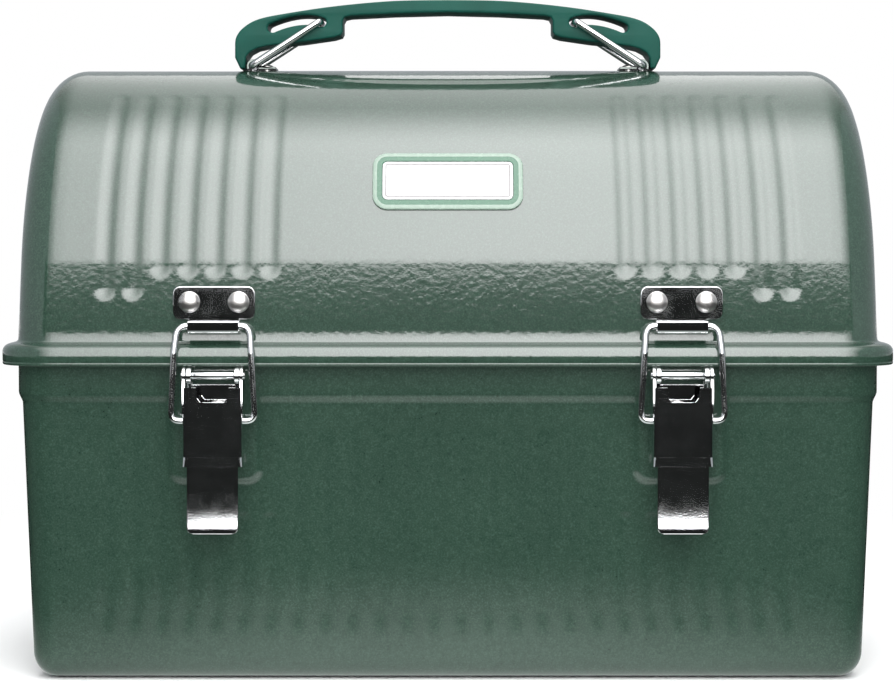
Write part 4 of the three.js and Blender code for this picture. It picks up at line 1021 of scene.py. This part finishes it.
def handle_bracket(name, side):
    """Saddle over the strut's lower bar, with a flat foot riveted to the pad."""
    seat = CREST + PAD_PROUD + GAP
    inner = STRUT_WIRE / 2 + GAP
    saddle = [(inner + LEAF / 2 - 0.15, seat)]
    bow = inner + LEAF / 2
    saddle += [(bow * math.cos(a), STRUT_Z + bow * math.sin(a)) for a in sweep(0, 180, 15)]
    saddle += [(-inner - LEAF / 2, seat + LEAF / 2), (-9.0, seat + LEAF / 2)]
    outline = [(STRUT_X + u, v) for u, v in thick_run(saddle, LEAF - 0.05)]
    body = Solid().loft(across_y(outline, -8.0, 8.0))
    if side < 0:
        body.mirrored()
    body.piece(f"handle_bracket_{name}_bent", DARK_PLATE, "lid", f"handle_bracket_{name}", bevel=0.2)


# ---- badge

def badge_loop(inset, lift):
    """A rounded rectangle wrapped on the dome, `inset` from the badge's edge, `lift` off the steel."""
    w, h = BADGE_W / 2 - inset, BADGE_H / 2 - inset
    radius = max(BADGE_R - inset, 0.25)
    corners = []
    for su, sv, start in ((1, 1, 0), (-1, 1, 90), (-1, -1, 180), (1, -1, 270)):
        u, v = su * (w - radius), sv * (h - radius)
        bend = sweep(start, start + 90, 11.25)
        corners.append([(u + radius * math.cos(a), v + radius * math.sin(a)) for a in bend])
    outline = []
    for corner, following in zip(corners, corners[1:] + corners[:1]):
        (u1, v1), (u2, v2) = corner[-1], following[0]
        outline += corner + [(u1 + (u2 - u1) * k / 6, v1 + (v2 - v1) * k / 6) for k in range(1, 6)]
    reach = HALF_D + lift
    points = []
    for u, v in outline:
        angle = math.radians(BADGE_ANGLE) + v / HALF_D
        points.append((u, -reach * math.cos(angle), DOME_Z + reach * math.sin(angle)))
    return points


def badge():
    """Blank nameplate: a two-tone green border round a white panel with a fine line."""
    border = [(0.0, GAP), (0.0, 0.85), (0.12, 1.1), (0.4, 1.25), (1.7, 1.3), (1.75, 1.22), (3.5, 1.22),
              (3.62, 1.1), (3.62, GAP)]
    colours = [0, 0, 0, 0, 1, 1, 1, 1, 1]
    body = Solid().loft([badge_loop(*row) for row in border], closed=True)
    count = len(body.verts) // len(border)
    mesh_piece("badge_frame_enamel", body.verts, body.faces, [BADGE_PALE, BADGE_MID], "lid", ["badge_frame"],
               face_materials=[c for c in colours for _ in range(count)])
    panel = [(11.3, GAP), (3.75, GAP), (3.75, 1.0), (3.9, 1.15)]
    panel += [(inset, 1.18) for inset in (4.85, 5.2, 6.2, 8.5, 11.3)]
    tint = [0, 0, 0, 0, 1, 0, 0, 0]
    body = Solid().loft([badge_loop(*row) for row in panel])
    mesh_piece("badge_panel_enamel", body.verts, body.faces, [BADGE_WHITE, BADGE_LINE], "lid",
               ["badge_plate"], face_materials=[c for c in tint for _ in range(count)] + [0, 0])


# ---- bottle bail

BAIL_Y, BAIL_Z = joint_place("bottle_bail_pivot")[1:]
BAIL_HALF, BAIL_FRONT, BAIL_WIRE = 62.0, -66.0, 3.0


def bottle_bail():
    end, wide = BAIL_HALF - 5, BAIL_HALF + 8
    flat = [(end, BAIL_Y), (wide, BAIL_Y), (wide, BAIL_FRONT + 20), (30, BAIL_FRONT)]
    points = [(-a, b, BAIL_Z) for a, b in flat] + [(a, b, BAIL_Z) for a, b in flat[::-1]]
    Solid().loft(wire(points, BAIL_WIRE, 5.5)).piece(
        "bottle_bail_bent", WIRE, "bottle_bail", "bottle_bail", smooth=60)


def bail_fittings():
    seat = HALF_D - SHEET - GAP
    for name, side in SIDES:
        x = side * BAIL_HALF
        plate = rounded_box_outline(x, BAIL_Z + 5, 9, 18, 2)
        body = Solid().loft(across_y(plate, seat - LEAF, seat))
        web = [(seat, BAIL_Z - 1.6), (seat, BAIL_Z + 3), (BAIL_Y, BAIL_Z + 2.9), (BAIL_Y + 1.7, BAIL_Z)]
        body.loft(across_x(web, x, 8.6))
        body.loft(tube_x(3.0, 1.65, 9, x, BAIL_Y, BAIL_Z), closed=True)
        body.piece(f"bail_pivot_{name}", CHROME, "lid", f"bottle_bail_pivot_{name}", bevel=0.15)
    clear = BAIL_WIRE / 2 + GAP + LEAF / 2
    over, wall, hook = BAIL_Z + clear, LEAF / 2 - seat, BAIL_FRONT + clear
    run = [(wall, BAIL_Z + 14), (wall, over), (hook, over), (hook, BAIL_Z - 1)]
    Solid().loft(strip(run, 1.4, 5, 0, 14)).piece(
        "bail_catch", CHROME, "lid", "bottle_bail_catch", bevel=0.2)


# ---- stage

def stage_mesh(name, verts, faces, material):
    mesh = bpy.data.meshes.new(name)
    mesh.from_pydata(verts, [], faces)
    mesh.materials.append(material)
    thing = bpy.data.objects.new(name, mesh)
    bpy.context.scene.collection.objects.link(thing)
    return thing


def glow(name, colour, strength):
    material = bpy.data.materials.new(name)
    material.use_nodes = True
    tree = material.node_tree
    tree.nodes.clear()
    lamp = add(tree, "ShaderNodeEmission", Color=(*colour, 1.0), Strength=strength)
    out = tree.nodes.new("ShaderNodeOutputMaterial")
    tree.links.new(lamp.outputs[0], out.inputs["Surface"])
    return material


def fading(tree, value, start, stop, low):
    """1 at `start`, falling smoothly to `low` at `stop`."""
    fade = add(tree, "ShaderNodeMapRange", interpolation_type="SMOOTHSTEP")
    preset(fade, {"From Min": start, "From Max": stop, "To Min": 1.0, "To Max": low})
    tree.links.new(value, fade.inputs["Value"])
    return fade.outputs["Result"]


def maths(tree, operation, *values):
    """One sum on sockets and numbers."""
    node = add(tree, "ShaderNodeMath", operation=operation)
    for socket, value in zip(node.inputs, values):
        if isinstance(value, float):
            socket.default_value = value
        else:
            tree.links.new(value, socket)
    return node.outputs[0]


def out_from_middle(tree):
    """Distance from the middle of the floor."""
    far = add(tree, "ShaderNodeVectorMath", operation="LENGTH")
    tree.links.new(object_space(tree), far.inputs[0])
    return far.outputs["Value"]


def diffuser(name, strength, middle, reach):
    """A glow that dims to both sides of x = middle, towards the back, and near the floor."""
    material = glow(name, (1.0, 1.0, 1.0), strength)
    tree = material.node_tree
    parts = tree.nodes.new("ShaderNodeSeparateXYZ")
    tree.links.new(object_space(tree), parts.inputs["Vector"])
    away = maths(tree, "ABSOLUTE", maths(tree, "SUBTRACT", parts.outputs["X"], middle))
    sides = fading(tree, away, 0.0, reach, 0.2)
    back = fading(tree, parts.outputs["Y"], -0.75, 0.6, 0.3)
    sill = fading(tree, parts.outputs["Z"], 0.24, 0.02, 0.0)
    full = maths(tree, "MULTIPLY", maths(tree, "MULTIPLY", sides, back), strength)
    tree.links.new(maths(tree, "MULTIPLY", full, sill), tree.nodes["Emission"].inputs["Strength"])
    return material


def seen_by(thing, camera=False, diffuse=False, glossy=False, shadow=False):
    thing.visible_camera = camera
    thing.visible_diffuse = diffuse
    thing.visible_glossy = glossy
    thing.visible_transmission = glossy
    thing.visible_shadow = shadow


def curved_softbox(name, radius, low, high, left, right, strength):
    """A round diffuser arching from in front of the box to over and behind it."""
    angles = sweep(low, high, 5)
    verts, faces = [], []
    for i, a in enumerate(angles):
        y, z = -radius * math.cos(a), 0.15 + radius * math.sin(a)
        verts += [(-left, y, z), (right, y, z)]
        if i:
            faces.append([2 * i - 2, 2 * i - 1, 2 * i + 1, 2 * i])
    box = stage_mesh(name, verts, faces, diffuser(name, strength, (right - left) / 2, (left + right) / 2))
    seen_by(box, diffuse=True, glossy=True)


def card_glow():
    """What glossy surfaces see of the studio floor: light beside the box, dark further out."""
    material = glow("card", (0.92, 1.0, 0.96), 1.0)
    tree = material.node_tree
    strength = fading(tree, out_from_middle(tree), 0.08, 0.30, 0.014)
    tree.links.new(strength, tree.nodes["Emission"].inputs["Strength"])
    return material


def floor_paper():
    """White paper that turns into the bright backdrop away from the box."""
    material, tree, bsdf = shader("pale_floor")
    shade = noise(tree, 3.0, 2.0, 0.5)
    tree.links.new(grey_ramp(tree, shade, [(0.3, 0.84), (0.7, 0.86)]), bsdf.inputs["Base Color"])
    preset(bsdf, {"Roughness": 0.9, "Specular IOR Level": 0.1})
    lit = add(tree, "ShaderNodeEmission", Color=(1.0, 1.0, 1.0, 1.0), Strength=1.0)
    blend = tree.nodes.new("ShaderNodeMixShader")
    tree.links.new(fading(tree, out_from_middle(tree), 0.55, 0.24, 0.0), blend.inputs["Fac"])
    tree.links.new(bsdf.outputs["BSDF"], blend.inputs[1])
    tree.links.new(lit.outputs["Emission"], blend.inputs[2])
    tree.links.new(blend.outputs["Shader"], tree.nodes["Material Output"].inputs["Surface"])
    return material


def stage():
    paper = [(x, y, -0.0002) for x, y in ((-6, -6), (6, -6), (6, 6), (-6, 6))]
    stage_mesh("floor", paper, [[0, 1, 2, 3]], floor_paper())

    around = stage_mesh("surround", *ball(7.0), glow("surround_glow", (1.0, 1.0, 1.0), 1.0))
    seen_by(around, camera=True)

    sheet = [(x, y, 0.001) for x, y in ((-4, -5), (4, -5), (4, 4), (-4, 4))] + [(-4, -5, 0.34), (4, -5, 0.34)]
    card = stage_mesh("dark_card", sheet, [[0, 1, 2, 3], [0, 4, 5, 1]], card_glow())
    seen_by(card, glossy=True)

    curved_softbox("main_softbox", 2.2, -0.6, 150, 1.35, 1.65, 6.0)

    world = bpy.data.worlds.new("studio")
    world.use_nodes = True
    preset(world.node_tree.nodes["Background"], {"Color": (0.9, 0.95, 1.0, 1.0), "Strength": 0.5})
    bpy.context.scene.world = world


def ball(radius):
    """Points and faces of a sphere about the origin."""
    verts, faces = [], []
    columns, rows = 32, 16
    for r in range(rows + 1):
        up = math.pi * (r / rows - 0.5)
        level, height = radius * math.cos(up), radius * math.sin(up)
        turns = [2 * math.pi * c / columns for c in range(columns)]
        verts += [(level * math.cos(a), level * math.sin(a), height) for a in turns]
        if r:
            faces += ring_faces((r - 1) * columns, r * columns, columns)
    return verts, faces


LENS = 97.65  # mm, on a 36 mm sensor
EYE = (-0.0003, -0.9825, 0.1684)  # m
LOOKS_DOWN = 2.49  # degrees


def camera():
    data = bpy.data.cameras.new("camera")
    data.sensor_width = 36.0
    data.lens = LENS
    eye = bpy.data.objects.new("camera", data)
    bpy.context.scene.collection.objects.link(eye)
    eye.location = EYE
    eye.rotation_euler = (math.radians(90 - LOOKS_DOWN), 0.0, 0.0)
    bpy.context.scene.camera = eye
    bpy.context.scene.view_settings.view_transform = "Standard"


# ---- assembly

camera()
stage()
base_shell()
lid_shell()
handle()
badge()
bottle_bail()
bail_fittings()

KEEPER_RIVET_Z = KEEPER_LOW + KEEPER_H / 2 + 0.3
PAD_RIVET_Z = CREST + PAD_PROUD + GAP + LEAF
for side_name, sign in SIDES:
    latch, hinge = sign * LATCH_X, sign * HINGE_X
    keeper(side_name, latch)
    latch_loop(side_name, latch)
    latch_plate(side_name, latch)
    latch_lever(side_name, latch)
    latch_pin(side_name, latch)
    hinge_leaves(side_name, hinge)
    strut(side_name, sign)
    handle_bracket(side_name, sign)
    for number, step in enumerate((-1, 1), 1):
        tag = f"{side_name}_{number}"
        bolt = hinge + step * 12
        for piece, node, body, x, seat, across, face, form, grip in (
            ("keeper_rivet", "latch_keeper_rivet", "lid", latch + step * 9.2, -OUTSIDE, KEEPER_RIVET_Z, -1,
             KEEPER_RIVET, GRIP_RUN),
            ("plate_rivet", "latch_plate_rivet", "base", latch, -OUTSIDE, PLATE_RIVETS[number - 1], -1,
             PLATE_RIVET, GRIP_RUN),
            ("base_hinge_rivet", "hinge_base_rivet", "base", bolt, OUTSIDE, LEAF_LOW + LEAF_RIVET, 1,
             HINGE_RIVET, GRIP_RUN),
            ("lid_hinge_rivet", "hinge_lid_rivet", "lid", bolt, OUTSIDE, LEAF_HIGH - LEAF_RIVET, 1,
             HINGE_RIVET, GRIP_RUN),
            ("bracket_rivet", "handle_bracket_rivet", "lid", sign * (STRUT_X - 5.4), PAD_RIVET_Z,
             step * 5.0, 0, BRACKET_RIVET, GRIP_RUN + 1.1),
        ):
            rivet(f"{piece}_{tag}", body, f"{node}_{tag}", x, seat, across, face, form, grip)
